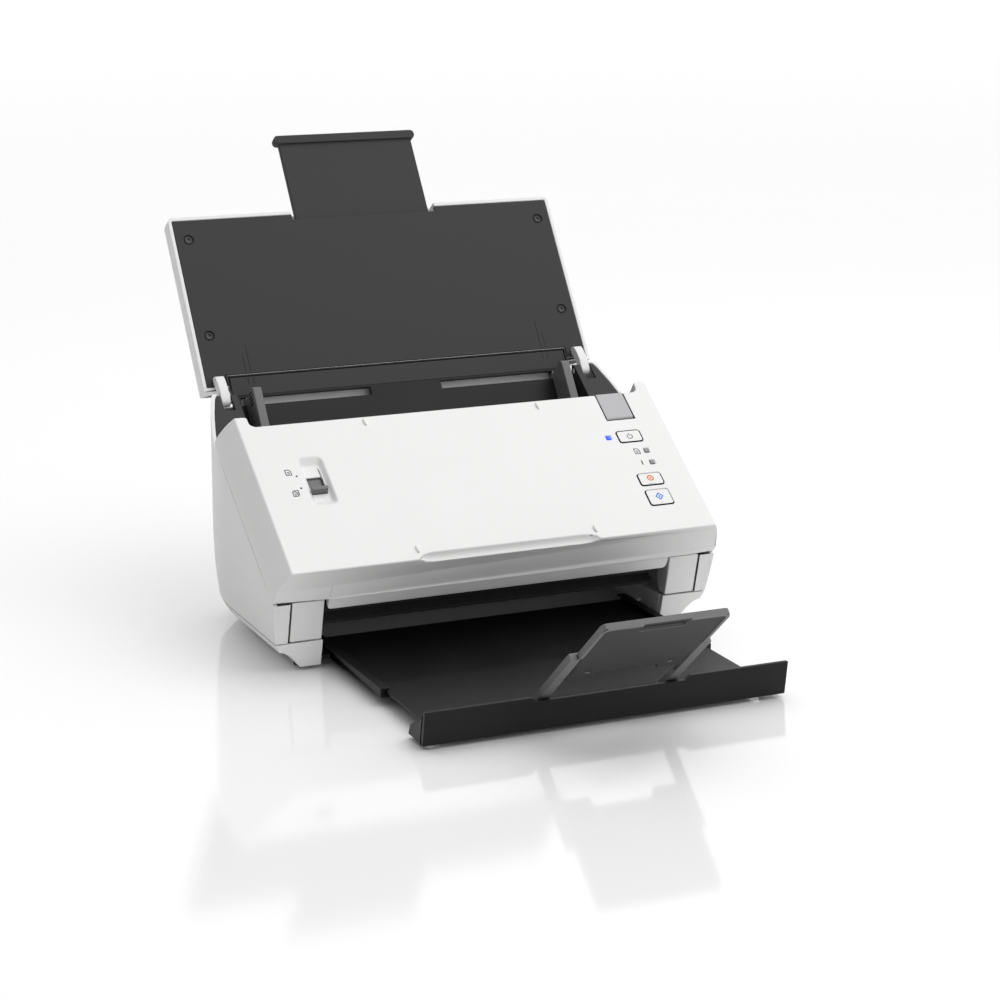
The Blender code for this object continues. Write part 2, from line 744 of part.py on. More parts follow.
def panel_profile():
    """Side view of a side panel: leaning front, sloped top and tower."""
    top = -COVER_DEPTH - SEAM
    step = rear_of_cover(top) + SEAM
    slope = flat(FACE, ((-SHEET, top), (step, top), (step, -TOWER_STEP)))
    foot_y, foot_z = flat(FACE, ((0.0, -TOWER_STEP),))[0]
    peak = foot_y + (TOWER_TOP - foot_z) / math.tan(FACE_ANGLE)
    rear = BODY_REAR + OVERCUT
    profile = [(front_y(PANEL_LOW), PANEL_LOW), (front_y(slope[0][1]), slope[0][1])] + slope[1:]
    return profile + [(peak, TOWER_TOP), (rear, TOWER_TOP), (rear, PANEL_LOW)]


def side_panel(name, side):
    shares = (0.0, 0.2, 0.5, 1.0)
    levels = [PANEL_LOW + (PANEL_FULL - PANEL_LOW) * share for share in shares]
    rings = []
    for z in levels + [TOWER_TOP + OVERCUT]:
        inset = side_inset(z)
        outer = side_path(inset, CREASE_Y - OVERCUT) + [(RAMP_HALF, BODY_REAR - inset)]
        inner = side_path(inset + WALL, CREASE_Y - OVERCUT) + [(RAMP_HALF, BODY_REAR - inset - WALL)]
        rings.append([(side * x, y, z) for x, y in outer + inner[::-1]])
    panel = piece(name, WHITE, skin(rings))
    profile = panel_profile()
    keep(panel, prism(profile, *span(side, RAMP_HALF - OVERCUT, HALF + OVERCUT)))
    front_top = profile[1][1] - SEAM
    rings = []
    for share in shares:
        z = PANEL_LOW + (front_top - PANEL_LOW) * share
        near = front_y(z) + GAP / 2
        ring = rectangle(BLOCK_OUTER + SEAM, near, HALF - side_inset(z) - PANEL_EDGE, near + WALL)
        rings.append([(side * x, y, z) for x, y in ring])
    join(panel, skin(rings))
    low = COVER_AXIS_Z - BOSS_HALF
    high = COVER_AXIS_Z + BOSS_HALF
    rear = COVER_AXIS_Y + BOSS_HALF
    boss = [(front_y(low) + SHEET, low), (rear, low), (rear, high), (front_y(high) + SHEET, high)]
    wall = HALF - side_inset(COVER_AXIS_Z) - WALL / 2
    join(panel, prism(boss, *span(side, BLOCK_OUTER + 2 * SEAM, wall)))
    pin = hole(COVER_PIN + RUN, 2 * (COVER_PIN_LENGTH + SEAM))
    cut(panel, at(pin, side * BLOCK_OUTER, COVER_AXIS_Y, COVER_AXIS_Z))
    notch = block(span(side, RAMP_HALF - WALL, ARM_OUTER + 2 * SEAM),
                  (TRAY_AXIS_Y - OVERCUT, BODY_REAR + OVERCUT),
                  (TRAY_AXIS_Z - ARM_SWING, TOWER_TOP + OVERCUT))
    cut(panel, notch)
    return panel


def side_trim(name, side):
    start = rear_of_cover(-TOWER_STEP) + 2 * SEAM
    stop = start + TRIM_LENGTH
    top = -TOWER_STEP - GAP
    plate = flat(FACE, ((start, top), (stop, top), (stop, top - SHEET), (start, top - SHEET)))
    trim = piece(name, DARK, prism(plate, *span(side, TRIM_INNER, HALF)))
    rear = BODY_REAR - WALL - 3 * GAP
    clear = PICKUP_AT + GEAR_RADIUS + 2 * GEAR_MODULE
    shelf = ROLLER_DEPTH + GEAR_RADIUS + 2 * GEAR_MODULE
    near = start + SEAM
    far = stop - SEAM
    web = flat(FACE, ((clear, ROLLER_DEPTH), (clear, shelf), (near, shelf), (near, top - GAP),
                      (far, top - GAP)))
    web += [(rear, web[-1][1]), (rear, TRIM_FOOT)]
    join(trim, prism(web, *span(side, TRIM_INNER, TRIM_INNER + SHEET)))
    keep(trim, prism(both(side_path(WALL + RUN, 0.0)), PANEL_FULL, TOWER_TOP + OVERCUT, "Z"))
    slot = block(span(side, ARM_INNER - SEAM, ARM_OUTER + SEAM),
                 (TRAY_AXIS_Y - ARM_BACK, BODY_REAR + OVERCUT), (TRIM_SLOT_Z, TOWER_TOP + OVERCUT))
    cut(trim, slot)
    cut(trim, at(hole(PIN_RADIUS + GAP, 6 * SHEET), side * TRIM_INNER, TRAY_AXIS_Y, TRAY_AXIS_Z))
    return trim


def rear_panel():
    half = RAMP_HALF - SEAM
    top = TRAY_STEP - SEAM
    outer = -HOOD_DEPTH
    inner = outer + HOOD_WALL
    lid = -RAMP_SHEET - RUN
    foot_out = (BODY_REAR - TRAY_Y + math.sin(TRAY_ANGLE) * outer) / math.cos(TRAY_ANGLE)
    foot_in = (BODY_REAR - WALL - TRAY_Y + math.sin(TRAY_ANGLE) * inner) / math.cos(TRAY_ANGLE)
    hood = flat(TRAY, ((foot_out, outer), (top, outer), (top, lid), (top - SHEET, lid),
                       (top - SHEET, inner), (foot_in, inner)))
    profile = [(BODY_REAR, PANEL_LOW)] + hood + [(BODY_REAR - WALL, PANEL_LOW)]
    panel = piece("rear_panel", WHITE, prism(profile, -half, half))
    for x, width, height in ((INLET_X, INLET_SIZE, INLET_SIZE), (USB_X, USB_WIDTH, USB_HEIGHT)):
        cut(panel, block((x - width / 2 - RUN, x + width / 2 + RUN),
                         (BODY_REAR - OVERCUT, BODY_REAR + OVERCUT),
                         (PORT_Z - RUN, PORT_Z + height + RUN)))
    return panel


def power_inlet():
    half = INLET_SIZE / 2
    shell = block((INLET_X - half, INLET_X + half), (PORT_REAR - PORT_DEPTH, PORT_REAR),
                  (PORT_Z, PORT_Z + INLET_SIZE))
    inlet = piece("power_inlet", BLACK, shell)
    middle = (INLET_X, PORT_Z + half)
    socket = arc(middle, INLET_SOCKET, 0, math.tau * 15 / 16, 15)
    pin = arc(middle, INLET_PIN, 0, math.tau * 9 / 10, 9)
    cut(inlet, prism(socket, PORT_REAR - PORT_HOLE, PORT_REAR + SHEET, "Y"))
    join(inlet, prism(pin, PORT_REAR - PORT_HOLE - SEAM, PORT_REAR - SHEET / 2, "Y"))
    return inlet


def usb_port():
    half = USB_WIDTH / 2
    shell = block((USB_X - half, USB_X + half), (PORT_REAR - PORT_DEPTH, PORT_REAR),
                  (PORT_Z, PORT_Z + USB_HEIGHT))
    port = piece("usb_port", STEEL, shell)
    wide = USB_MOUTH / 2
    neck = USB_NECK / 2
    low = PORT_Z + USB_RIM
    high = PORT_Z + USB_HEIGHT - USB_RIM
    shoulder = high - wide + neck
    mouth = [(USB_X + x, z) for x, z in both([(wide, low), (wide, shoulder), (neck, high)])]
    cut(port, prism(mouth, PORT_REAR - PORT_HOLE, PORT_REAR + SHEET, "Y"))
    join(port, block((USB_X - neck, USB_X + neck), (PORT_REAR - PORT_HOLE - SEAM, PORT_REAR - SHEET / 2),
                     (low + 2 * USB_RIM, low + 4 * USB_RIM)))
    return port


def main_board():
    return piece("main_board", BOARD, block((-BOARD_LEFT, BOARD_RIGHT), (BOARD_FRONT, BOARD_REAR),
                                            (BOARD_Z, BOARD_Z + BOARD_SHEET)))


def tray_meets_path(out):
    """Where the tray plane meets the paper path, both offset by out."""
    a, b = (FACE.inverted() @ (TRAY @ Vector((0, along, out))) for along in (0.0, -TRAY_LENGTH))
    share = (LOWER_PATH + out - a.z) / (b.z - a.z)
    return flat(FACE, ((a.y + share * (b.y - a.y), LOWER_PATH + out),))[0]


def ramp_line(out):
    """The ramp seen from the side, offset from the paper by out."""
    corner = tray_meets_path(out)
    upper = TRAY.inverted() @ Vector((0, *corner))
    lower = FACE.inverted() @ Vector((0, *corner))
    first = flat(TRAY, ((upper.y + BEND_LENGTH, out),))[0]
    last = flat(FACE, ((lower.y - BEND_LENGTH, LOWER_PATH + out),))[0]
    line = flat(TRAY, ((TRAY_STEP - SEAM, out),)) + bend(first, corner, last)
    return line + flat(FACE, ((PATH_END + SEAM, LOWER_PATH + out),))


def paper_ramp():
    edge, *rest = ramp_line(0.0)
    nick = flat(TRAY, ((RAMP_NICK_AT + RAMP_NICK, 0), (RAMP_NICK_AT, -RAMP_NICK),
                       (RAMP_NICK_AT - RAMP_NICK, 0)))
    profile = [edge] + nick + rest + ramp_line(-RAMP_SHEET)[::-1]
    ramp = piece("paper_ramp", DARK, prism(profile, -RAMP_HALF, RAMP_HALF))
    stem = GUIDE_STEM + RUN
    outer = GUIDE_SPACING / 2 + GUIDE_THICK + GUIDE_OUT
    inner = outer - GUIDE_IN - 2 * SLOT_RUN_ON
    for side in (-1, 1):
        slot = block(span(side, inner, outer), (GUIDE_PINION_AT - stem, GUIDE_PINION_AT + stem),
                     (-OVERCUT, OVERCUT))
        cut(ramp, slot, frame=TRAY)
    pin = upright(PIN_RADIUS, RACK_LOW - GAP, -RAMP_SHEET / 2, 14)
    join(ramp, at(pin, 0, GUIDE_PINION_AT, 0), frame=TRAY)
    return ramp


def glass_hole(depth):
    """The cutter that seats a scan glass in a paper guide."""
    return block((-GLASS_HALF - GAP, GLASS_HALF + GAP), (GLASS_FROM - GAP, GLASS_TO + GAP), depth)


def lower_paper_guide():
    wide = FRAME_INNER - RUN
    narrow = CHIN_HALF - RUN
    flare = GUIDE_START + GUIDE_NARROW
    outline = both([(narrow, GUIDE_START), (narrow, flare), (wide, flare + GUIDE_FLARE), (wide, PATH_END)])
    plate = piece("lower_paper_guide", DARK, prism(outline, LOWER_PATH - SHEET, LOWER_PATH, "Z"), FACE)
    deep = (LOWER_PATH - OVERCUT, LOWER_PATH + OVERCUT)
    room = TYRE_RADIUS + TYRE_ROOM
    cut(plate, glass_hole(deep), frame=FACE)
    for along in (EXIT_AT, FEED_AT):
        for side in (-1, 1):
            slot = block(span(side, TYRE_FROM - RUN, TYRE_TO + RUN), (along - room, along + room), deep)
            cut(plate, slot, frame=FACE)
    mouth = block((-PICKUP_HALF - RUN, PICKUP_HALF + RUN), (PICKUP_AT - room, PATH_END + OVERCUT), deep)
    cut(plate, mouth, frame=FACE)
    return plate


def scan_glass(name, low, high):
    return piece(name, GLASS, block((-GLASS_HALF, GLASS_HALF), (GLASS_FROM, GLASS_TO), (low, high)), FACE)


def sensor_bar(name, near, away, half):
    """A contact sensor behind a scan glass, with its far corners cut off."""
    far = near + away * SENSOR_HEIGHT
    corner = far - away * SENSOR_EDGE
    outline = [(GLASS_FROM - SENSOR_EDGE, near), (GLASS_TO + SENSOR_EDGE, near),
               (GLASS_TO + SENSOR_EDGE, corner),
               (GLASS_TO, far), (GLASS_FROM, far), (GLASS_FROM - SENSOR_EDGE, corner)]
    return piece(name, BLACK, prism(outline, -half, half), FACE)


def frame_side(name, side):
    low = RAIL_TOP + GAP
    rear = BODY_REAR - WALL - FRAME_REAR_GAP
    top = UPPER_PATH + GAP
    rise = flat(FACE, ((FRAME_START, top), (PATH_END, top), (PATH_END, ROLLER_DEPTH - TYRE_RADIUS)))
    outline = [(rise[0][0], low), (rear, low), (rear, FRAME_SHOULDER),
               (rear - FRAME_STEP, FRAME_SHOULDER + FRAME_STEP)]
    frame = piece(name, STEEL, prism(outline + rise[::-1], *span(side, FRAME_INNER, FRAME_OUTER)))
    for along in (EXIT_AT, FEED_AT, PICKUP_AT):
        cut(frame, at(hole(SHAFT_RADIUS + GAP, OVERCUT), side * FRAME_INNER, along, ROLLER_DEPTH), frame=FACE)
    if side > 0:
        cut(frame, at(hole(PIN_RADIUS + GAP, OVERCUT, 12), FRAME_INNER, FEED_AT, MOTOR_DEPTH), frame=FACE)
        for along in (IDLER_AT, SMALL_IDLER_AT):
            pin = turned([(FRAME_INNER + SHEET / 2, PIN_RADIUS), (GEAR_SIDE + GEAR_WIDTH, PIN_RADIUS)], 12)
            join(frame, at(pin, 0, along, ROLLER_DEPTH), frame=FACE)
    return frame


def roller(name, along, tyres, depth, radius, shaft, ends):
    """A shaft along X with rubber tyres, at one place of the paper path."""
    profile = [(ends[0], shaft)]
    for start, end in tyres:
        profile += [(start, shaft), (start, radius), (end, radius), (end, shaft)]
    profile.append((ends[1], shaft))
    return piece(name, RUBBER, at(turned(profile, 16), 0, along, depth), FACE)


def tyre_pair(inset=0.0):
    near = TYRE_FROM + inset
    far = TYRE_TO - inset
    return ((-far, -near), (near, far))


def base_rollers():
    ends = (-FRAME_OUTER + GAP, GEAR_SIDE + GEAR_WIDTH + GAP)
    made = {}
    for name, along in (("exit", EXIT_AT), ("feed", FEED_AT)):
        made[name] = roller(name + "_roller", along, tyre_pair(), ROLLER_DEPTH, TYRE_RADIUS, SHAFT_RADIUS,
                            ends)
    middle = ((-PICKUP_HALF, PICKUP_HALF),)
    made["pickup"] = roller("pickup_roller", PICKUP_AT, middle, ROLLER_DEPTH, TYRE_RADIUS, SHAFT_RADIUS, ends)
    return made


def cover_rollers():
    ends = (GAP - PINCH_SLOT, PINCH_SLOT - GAP)
    pair = tyre_pair(PINCH_INSET)
    made = {}
    for name, along in (("exit", EXIT_AT), ("feed", FEED_AT)):
        made[name] = roller(name + "_pinch_roller", along, pair, PINCH_DEPTH, PINCH_RADIUS, PIN_RADIUS, ends)
    middle = ((-PICKUP_HALF, PICKUP_HALF),)
    ends = (-PICKUP_HALF - PART_REACH, PICKUP_HALF + PART_REACH)
    made["part"] = roller("separation_roller", PICKUP_AT, middle, PART_DEPTH, TYRE_RADIUS, PIN_RADIUS, ends)
    return made


def train_gear(name, teeth, along, depth, bore, phase=0.0):
    shape = gear(teeth, GEAR_MODULE, GEAR_SIDE, GEAR_SIDE + GEAR_WIDTH, bore, phase)
    return piece(name, NYLON, at(shape, 0, along, depth), FACE)


def gears():
    bore = SHAFT_RADIUS + GAP
    idle = PIN_RADIUS + GAP
    half_pitch = math.pi / GEAR_TEETH
    small_half = math.pi / SMALL_TEETH
    made = {
        "exit": train_gear("exit_gear", GEAR_TEETH, EXIT_AT, ROLLER_DEPTH, bore),
        "feed": train_gear("feed_gear", GEAR_TEETH, FEED_AT, ROLLER_DEPTH, bore),
        "pickup": train_gear("pickup_gear", GEAR_TEETH, PICKUP_AT, ROLLER_DEPTH, bore),
        "idler": train_gear("idler_gear", GEAR_TEETH, IDLER_AT, ROLLER_DEPTH, idle, half_pitch),
        "small": train_gear("small_idler_gear", SMALL_TEETH, SMALL_IDLER_AT, ROLLER_DEPTH, idle, small_half),
        "motor": train_gear("motor_pinion", SMALL_TEETH, FEED_AT, MOTOR_DEPTH, 0.0),
    }
    shaft = turned([(MOTOR_FACE - MOTOR_SHAFT, PIN_RADIUS), (GEAR_SIDE + GEAR_WIDTH / 2, PIN_RADIUS)], 12)
    join(made["motor"], at(shaft, 0, FEED_AT, MOTOR_DEPTH), frame=FACE)
    return made


def drive_motor():
    bore = PIN_RADIUS + GAP
    profile = [(MOTOR_FACE - MOTOR_LENGTH, MOTOR_RADIUS), (MOTOR_FACE, MOTOR_RADIUS), (MOTOR_FACE, bore),
               (MOTOR_FACE - MOTOR_SHAFT - SHEET, bore)]
    return piece("drive_motor", STEEL, at(turned(profile, 20), 0, FEED_AT, MOTOR_DEPTH), FACE)


# Front cover


def notch_outline():
    """The space between the horns, with a round sweep into each horn."""
    half = FACE_HALF - HORN_WIDTH
    right = [(half + HORN_ROUND, HORN_END + OVERCUT)]
    right += arc((half + HORN_ROUND, HORN_END - HORN_ROUND), HORN_ROUND, math.pi / 2, math.pi, 3)
    right += arc((half - HORN_SWEEP, FACE_LENGTH + HORN_SWEEP), HORN_SWEEP, 0, -math.pi / 2, 5)
    return both(right)


def cover_side(steps=6):
    """Right half of the cover's cross-section, from the seam up to the face edge."""
    curve = (FACE_INSET ** 2 + COVER_DEPTH ** 2) / (2 * FACE_INSET)
    sweep = math.asin(COVER_DEPTH / curve)
    return arc((HALF - curve, -COVER_DEPTH), curve, 0, sweep, steps)


def chin_s(x, depth):
    """How far along the face the chin lies at a given x and depth."""
    recede = CHIN_RECEDE * max(0.0, abs(x) - FACE_HALF) / FACE_INSET
    return CHIN_LEAN * depth + recede


def cover_shell():
    """The outer skin of the cover, hollowed from below."""
    right = arc((CHIN_HALF - CHIN_ROUND, CHIN_ROUND - CHIN_DEPTH), CHIN_ROUND, -math.pi / 2, 0, 3)
    outline = both(right + [(CHIN_HALF, -COVER_DEPTH)] + cover_side())
    front = [(x, chin_s(x, depth), depth) for x, depth in outline]
    rear = [(x, rear_of_cover(depth), depth) for x, depth in outline]
    cover = piece("front_cover", WHITE, skin([front, rear]), FACE)
    room = both([(FACE_HALF - WALL - GAP, -WALL), (HALF - WALL, -COVER_DEPTH),
                 (HALF - WALL, -2 * CHIN_DEPTH)])
    near = [(x, chin_s(abs(x) + WALL, depth) + WALL, depth) for x, depth in room]
    far = [(x, FACE_LENGTH - WALL, depth) for x, depth in room]
    cut(cover, skin([near, far]), prism(notch_outline(), -2 * PATH_DEPTH, OVERCUT, "Z"), frame=FACE)
    for side in (-1, 1):
        under = block(span(side, CHIN_HALF + GAP, HALF + OVERCUT), (CREASE_Y - OVERCUT, CHIN_STEP_Y),
                      (CASE_TOP, CHIN_CORNER_Z))
        cut(cover, under)
    return cover


def cut_scoop(cover):
    """The finger groove along the crease, with a backing behind it."""
    reach = SCOOP_STRAIGHT + SCOOP_END
    join(cover, block((-reach, reach), (WALL / 2, 2.5 * WALL), (-2.5 * WALL, -WALL / 2)), frame=FACE)
    turns = [math.radians(angle) for angle in (0, 25, 45, 62, 76, 85)]
    right = [(SCOOP_STRAIGHT + SCOOP_END * math.sin(a), SCOOP_RADIUS * math.cos(a)) for a in turns]
    left = [(-x, radius) for x, radius in reversed(right)]
    cut(cover, at(turned(left + right, 28), 0, 0, SCOOP_OUT), frame=FACE)


def cut_dish(cover):
    """The dished seat of the feed selector, with its window and the rails that hold its plate."""
    x, s, width, length = SELECTOR
    side = width / 2
    end = length / 2
    under = -DISH_DEPTH - DISH_WALL
    pad = rectangle(x - side - SHEET, s - end - SHEET, x + side + SHEET, s + end + SHEET)
    join(cover, prism(pad, under, -WALL / 2, "Z"), frame=FACE)
    rail = KNOB_HALF + KNOB_LAP + 2 * RUN
    hold = under - GAP - KNOB_PLATE - RUN
    hook = [(rail, under + DISH_WALL / 2), (rail + SHEET, under + DISH_WALL / 2),
            (rail + SHEET, hold - SHEET / 2),
            (rail - KNOB_LAP, hold - SHEET / 2), (rail - KNOB_LAP, hold), (rail, hold)]
    ends = (KNOB_AT - KNOB_REACH - RUN, KNOB_AT + KNOB_REACH + KNOB_TRAVEL + RUN)
    for way in (-1, 1):
        join(cover, prism([(x + way * a, depth) for a, depth in hook], *ends, "Y"), frame=FACE)
    dish = rounded(x - side, s - end, x + side, s + end, DISH_ROUND)
    flat_side = side - DISH_SIDE
    flat_end = end - DISH_SLOPE
    floor = rounded(x - flat_side, s - flat_end, x + flat_side, s + flat_end, DISH_SIDE)
    rings = [[(a, b, -DISH_DEPTH) for a, b in floor], [(a, b, GAP) for a, b in dish]]
    open_half = KNOB_HALF + RUN
    open_end = KNOB_LENGTH / 2 + RUN
    window = block((x - open_half, x + open_half), (KNOB_AT - open_end, KNOB_AT + open_end + KNOB_TRAVEL),
                   (under - GAP, 0.0))
    cut(cover, skin(rings), window, frame=FACE)


def cut_controls(cover):
    """Holes for the buttons and lights, and the seat of the lever."""
    deep = (-2 * OVERCUT, OVERCUT)
    for x, s, width, length in (POWER, STOP, START):
        side = width / 2 + RUN
        end = length / 2 + RUN
        cut(cover, prism(rounded(x - side, s - end, x + side, s + end, BUTTON_ROUND, 2), *deep, "Z"),
            frame=FACE)
    half = LED_SIZE / 2 + GAP
    for x, s in LEDS:
        cut(cover, block((x - half, x + half), (s - half, s + half), deep), frame=FACE)
    x, s, width, length = LEVER
    side = width / 2 + RUN
    seat = block((x - side, x + side), (s - length / 2 - RUN, FACE_LENGTH + OVERCUT),
                 (-LEVER_TAIL - SEAM, OVERCUT))
    pin = hole(LEVER_PIN + GAP, width + 2 * (LEVER_PIN_REACH + GAP), 12)
    cut(cover, seat, at(pin, x, *LEVER_AXIS), frame=FACE)


def front_cover():
    cover = cover_shell()
    cut_dish(cover)
    cut_controls(cover)
    cut_scoop(cover)
    for x, s in PEGS:
        join(cover, at(upright(BOARD_PEG, BUTTON_BOARD_TOP + GAP, -WALL / 2, 10), x, s, 0), frame=FACE)
    return cover


def cover_inner_guide():
    rear = FACE_LENGTH - WALL - RUN
    under = -CHIN_DEPTH - SEAM
    tail = FACE_LENGTH + INNER_TAIL
    start = INNER_START + SHEET
    outer = [(INNER_START, -INNER_RIM), (INNER_START, UPPER_PATH + INNER_BEND),
             (INNER_START + INNER_BEND, UPPER_PATH),
             (tail, UPPER_PATH), (tail + INNER_BEND, UPPER_PATH + INNER_BEND), (FACE_LENGTH + SEAM, under),
             (rear, under), (rear, -INNER_RIM)]
    inner = [(start, OVERCUT), (start, UPPER_PATH + INNER_BEND + SHEET / 2),
             (start + INNER_BEND / 2, UPPER_PATH + SHEET), (tail - SHEET / 2, UPPER_PATH + SHEET),
             (FACE_LENGTH - SHEET / 2, under - SHEET), (rear - SHEET, under - SHEET), (rear - SHEET, OVERCUT)]
    guide = piece("cover_inner_guide", DARK, prism(outer, -INNER_HALF, INNER_HALF), FACE)
    cut(guide, prism(inner, SHEET - INNER_HALF, INNER_HALF - SHEET), frame=FACE)
    deep = (UPPER_PATH - OVERCUT, UPPER_PATH + 3 * SHEET)
    room = PINCH_RADIUS + PINCH_ROOM
    cut(guide, glass_hole(deep), frame=FACE)
    for along in (EXIT_AT, FEED_AT):
        cut(guide, block((-PINCH_SLOT, PINCH_SLOT), (along - room, along + room), deep), frame=FACE)
    half = PICKUP_HALF + PART_REACH + GAP
    cut(guide, block((-half, half), (PICKUP_AT - TYRE_RADIUS - 3 * TYRE_ROOM, PICKUP_AT + 2 * OVERCUT),
                     (UPPER_PATH - OVERCUT, UPPER_PATH + 2 * TYRE_RADIUS + SHEET)), frame=FACE)
    return guide


def button_board():
    return piece("button_board", BOARD, block(
        (CONTROLS_X - BUTTON_BOARD_HALF - SHEET, CONTROLS_X + BUTTON_BOARD_HALF - SHEET),
        (BUTTON_BOARD_LOW, BUTTON_BOARD_HIGH), (BUTTON_BOARD_TOP - BOARD_SHEET, BUTTON_BOARD_TOP)), FACE)


def hinge_block(name, side):
    rear = COVER_AXIS_Y + BLOCK_REAR
    outline = [(front_y(BLOCK_BOTTOM), BLOCK_BOTTOM), (rear - COVER_PIN, BLOCK_BOTTOM),
               (rear, BLOCK_BOTTOM + BLOCK_REAR),
               (rear, BLOCK_TOP), (front_y(BLOCK_TOP), BLOCK_TOP)]
    thing = piece(name, WHITE, prism(outline, *span(side, BLOCK_INNER, BLOCK_OUTER)))
    end = NECK_START + NECK_LENGTH
    top = -WALL - GAP
    neck = flat(FACE, ((NECK_START, top), (end, top), (end, -NECK_DEPTH), (NECK_START, -NECK_DEPTH)))
    join(thing, prism(neck, *span(side, BLOCK_INNER + NECK_INSET, BLOCK_OUTER - NECK_INSET)))
    ends = span(side, BLOCK_OUTER - SHEET / 2, BLOCK_OUTER + COVER_PIN_LENGTH)
    join(thing, at(turned([(x, COVER_PIN) for x in ends], 16), 0, COVER_AXIS_Y, COVER_AXIS_Z))
    return thing


def press_button(name, spot):
    x, s, width, length = spot
    side = width / 2
    end = length / 2
    edge = BUTTON_FLANGE
    low = -WALL - GAP - edge
    cap = rounded(x - side, s - end, x + side, s + end, BUTTON_ROUND, 2)
    flange = rounded(x - side - edge, s - end - edge, x + side + edge, s + end + edge, BUTTON_ROUND, 2)
    stem = block((x - BUTTON_STEM, x + BUTTON_STEM), (s - BUTTON_STEM, s + BUTTON_STEM),
                 (BUTTON_BOARD_TOP + BUTTON_TRAVEL + RUN, low + edge / 2))
    button = piece(name, WHITE, prism(cap, low + edge / 2, GAP, "Z"), FACE)
    join(button, prism(flange, low, low + edge, "Z"), stem, frame=FACE)
    return button


def led(name, spot, look):
    x, s = spot
    half = LED_SIZE / 2
    light = block((x - half, x + half), (s - half, s + half), (BUTTON_BOARD_TOP + GAP, GAP / 3))
    return piece(name, look, light, FACE)


def feed_selector():
    """A grip that stands in the window and the plate that closes the window from below."""
    x = SELECTOR[0]
    half = KNOB_LENGTH / 2
    crown = KNOB_CROWN / 2
    top = -DISH_DEPTH - DISH_WALL - GAP
    wide = rounded(x - KNOB_HALF, KNOB_AT - half, x + KNOB_HALF, KNOB_AT + half, KNOB_ROUND, 2)
    slim = KNOB_HALF - GAP
    narrow = rounded(x - slim, KNOB_AT - crown, x + slim, KNOB_AT + crown, KNOB_ROUND, 2)
    rings = [[(a, b, top - KNOB_PLATE / 2) for a, b in wide], [(a, b, -DISH_DEPTH) for a, b in wide],
             [(a, b, KNOB_RISE) for a, b in narrow]]
    knob = piece("feed_selector", GREY, skin(rings), FACE)
    side = KNOB_HALF + RUN + KNOB_LAP
    join(knob, block((x - side, x + side), (KNOB_AT - KNOB_REACH, KNOB_AT + KNOB_REACH),
                     (top - KNOB_PLATE, top)),
         frame=FACE)
    return knob


def cover_lever():
    x, s, width, length = LEVER
    high = s + length / 2
    tail = high - LEVER_AXIS_DEPTH
    nose = arc(LEVER_AXIS, LEVER_NOSE, math.pi / 2, math.pi * 1.5, 6)
    outline = nose + [(tail, nose[-1][1] + LEVER_PIN), (tail, -LEVER_TAIL), (high, -LEVER_TAIL),
                      (high, GAP / 2)]
    lever = piece("cover_lever", SILVER, prism(outline, x - width / 2, x + width / 2), FACE)
    join(lever, at(hole(LEVER_PIN, width + 2 * LEVER_PIN_REACH, 12), x, *LEVER_AXIS), frame=FACE)
    return lever


# Input tray


def bar_room(low):
    """The space that the end bar of the extension drops into."""
    half = BAR_HALF + RUN
    return block((-half, half), (BAR_SEAT, TRAY_LENGTH + OVERCUT), (low, OVERCUT))


def tray_shell():
    right = [(LEG_INNER, TRAY_STEP), (LEG_INNER, 0.0), (TRAY_HALF, 0.0)]
    right += arc((TRAY_HALF - TRAY_CORNER, TRAY_LENGTH - TRAY_CORNER), TRAY_CORNER, 0, math.pi / 2, 4)
    shell = piece("tray_shell", WHITE, prism(both(right), -TRAY_THICK, 0.0, "Z"), TRAY)
    cut(shell, prism(face_outline(0.0), -FACE_POCKET, OVERCUT, "Z"), frame=TRAY)
    half = EXTENSION_WIDTH / 2 + RUN
    slot = block((-half, half), (EXTENSION_LOW - EXTENSION_TRAVEL - SHEET, TRAY_LENGTH + OVERCUT),
                 (-EXTENSION_UNDER - RUN, -FACE_POCKET + SHEET / 2))
    cut(shell, slot, bar_room(-BAR_UNDER - RUN), frame=TRAY)
    return shell


def face_outline(shrink):
    """The dark face of the tray, stepped over the ramp."""
    half = TRAY_HALF - TRAY_RIM - shrink
    leg = LEG_INNER + TRAY_RIM / 2 + shrink
    low = TRAY_RIM + shrink
    step = TRAY_STEP + TRAY_RIM / 2 + shrink
    top = TRAY_LENGTH - TRAY_RIM - shrink
    return both([(leg, step), (leg, low), (half, low), (half, top)])


def tray_face():
    face = piece("tray_face", DARK, prism(face_outline(GAP), -FACE_POCKET + GAP, -GAP / 2, "Z"), TRAY)
    cut(face, bar_room(-2 * FACE_POCKET), frame=TRAY)
    for x in (RECESS_IN - TRAY_HALF, TRAY_HALF - RECESS_IN):
        for u in RECESS_AT:
            cut(face, at(upright(RECESS_RADIUS, -RECESS_DEPTH, SHEET, 14), x, u, 0), frame=TRAY)
    return face


def tray_arm(name, side):
    hub = TRAY.inverted() @ Vector((0, TRAY_AXIS_Y, TRAY_AXIS_Z))
    foot = GAP / 2
    high = TRAY_STEP - GAP
    outline = [(high / 2, foot), (high, foot), (high, ARM_HUB - SEAM), (high - SHEET / 2, hub.z),
               (high / 2, hub.z + ARM_HUB - SHEET), (-ARM_HUB + SHEET / 2, hub.z + ARM_HUB)]
    outline += arc((hub.y, hub.z), ARM_HUB, math.pi / 2, math.pi * 1.5, 6)
    outline.append((-ARM_HUB + SEAM, ARM_HUB - RUN))
    arm = piece(name, WHITE, prism(outline, *span(side, ARM_INNER, ARM_OUTER)), TRAY)
    ends = span(side, TRIM_INNER + GAP, (ARM_INNER + ARM_OUTER) / 2)
    join(arm, at(turned([(x, PIN_RADIUS) for x in ends], 14), 0, hub.y, hub.z), frame=TRAY)
    return arm


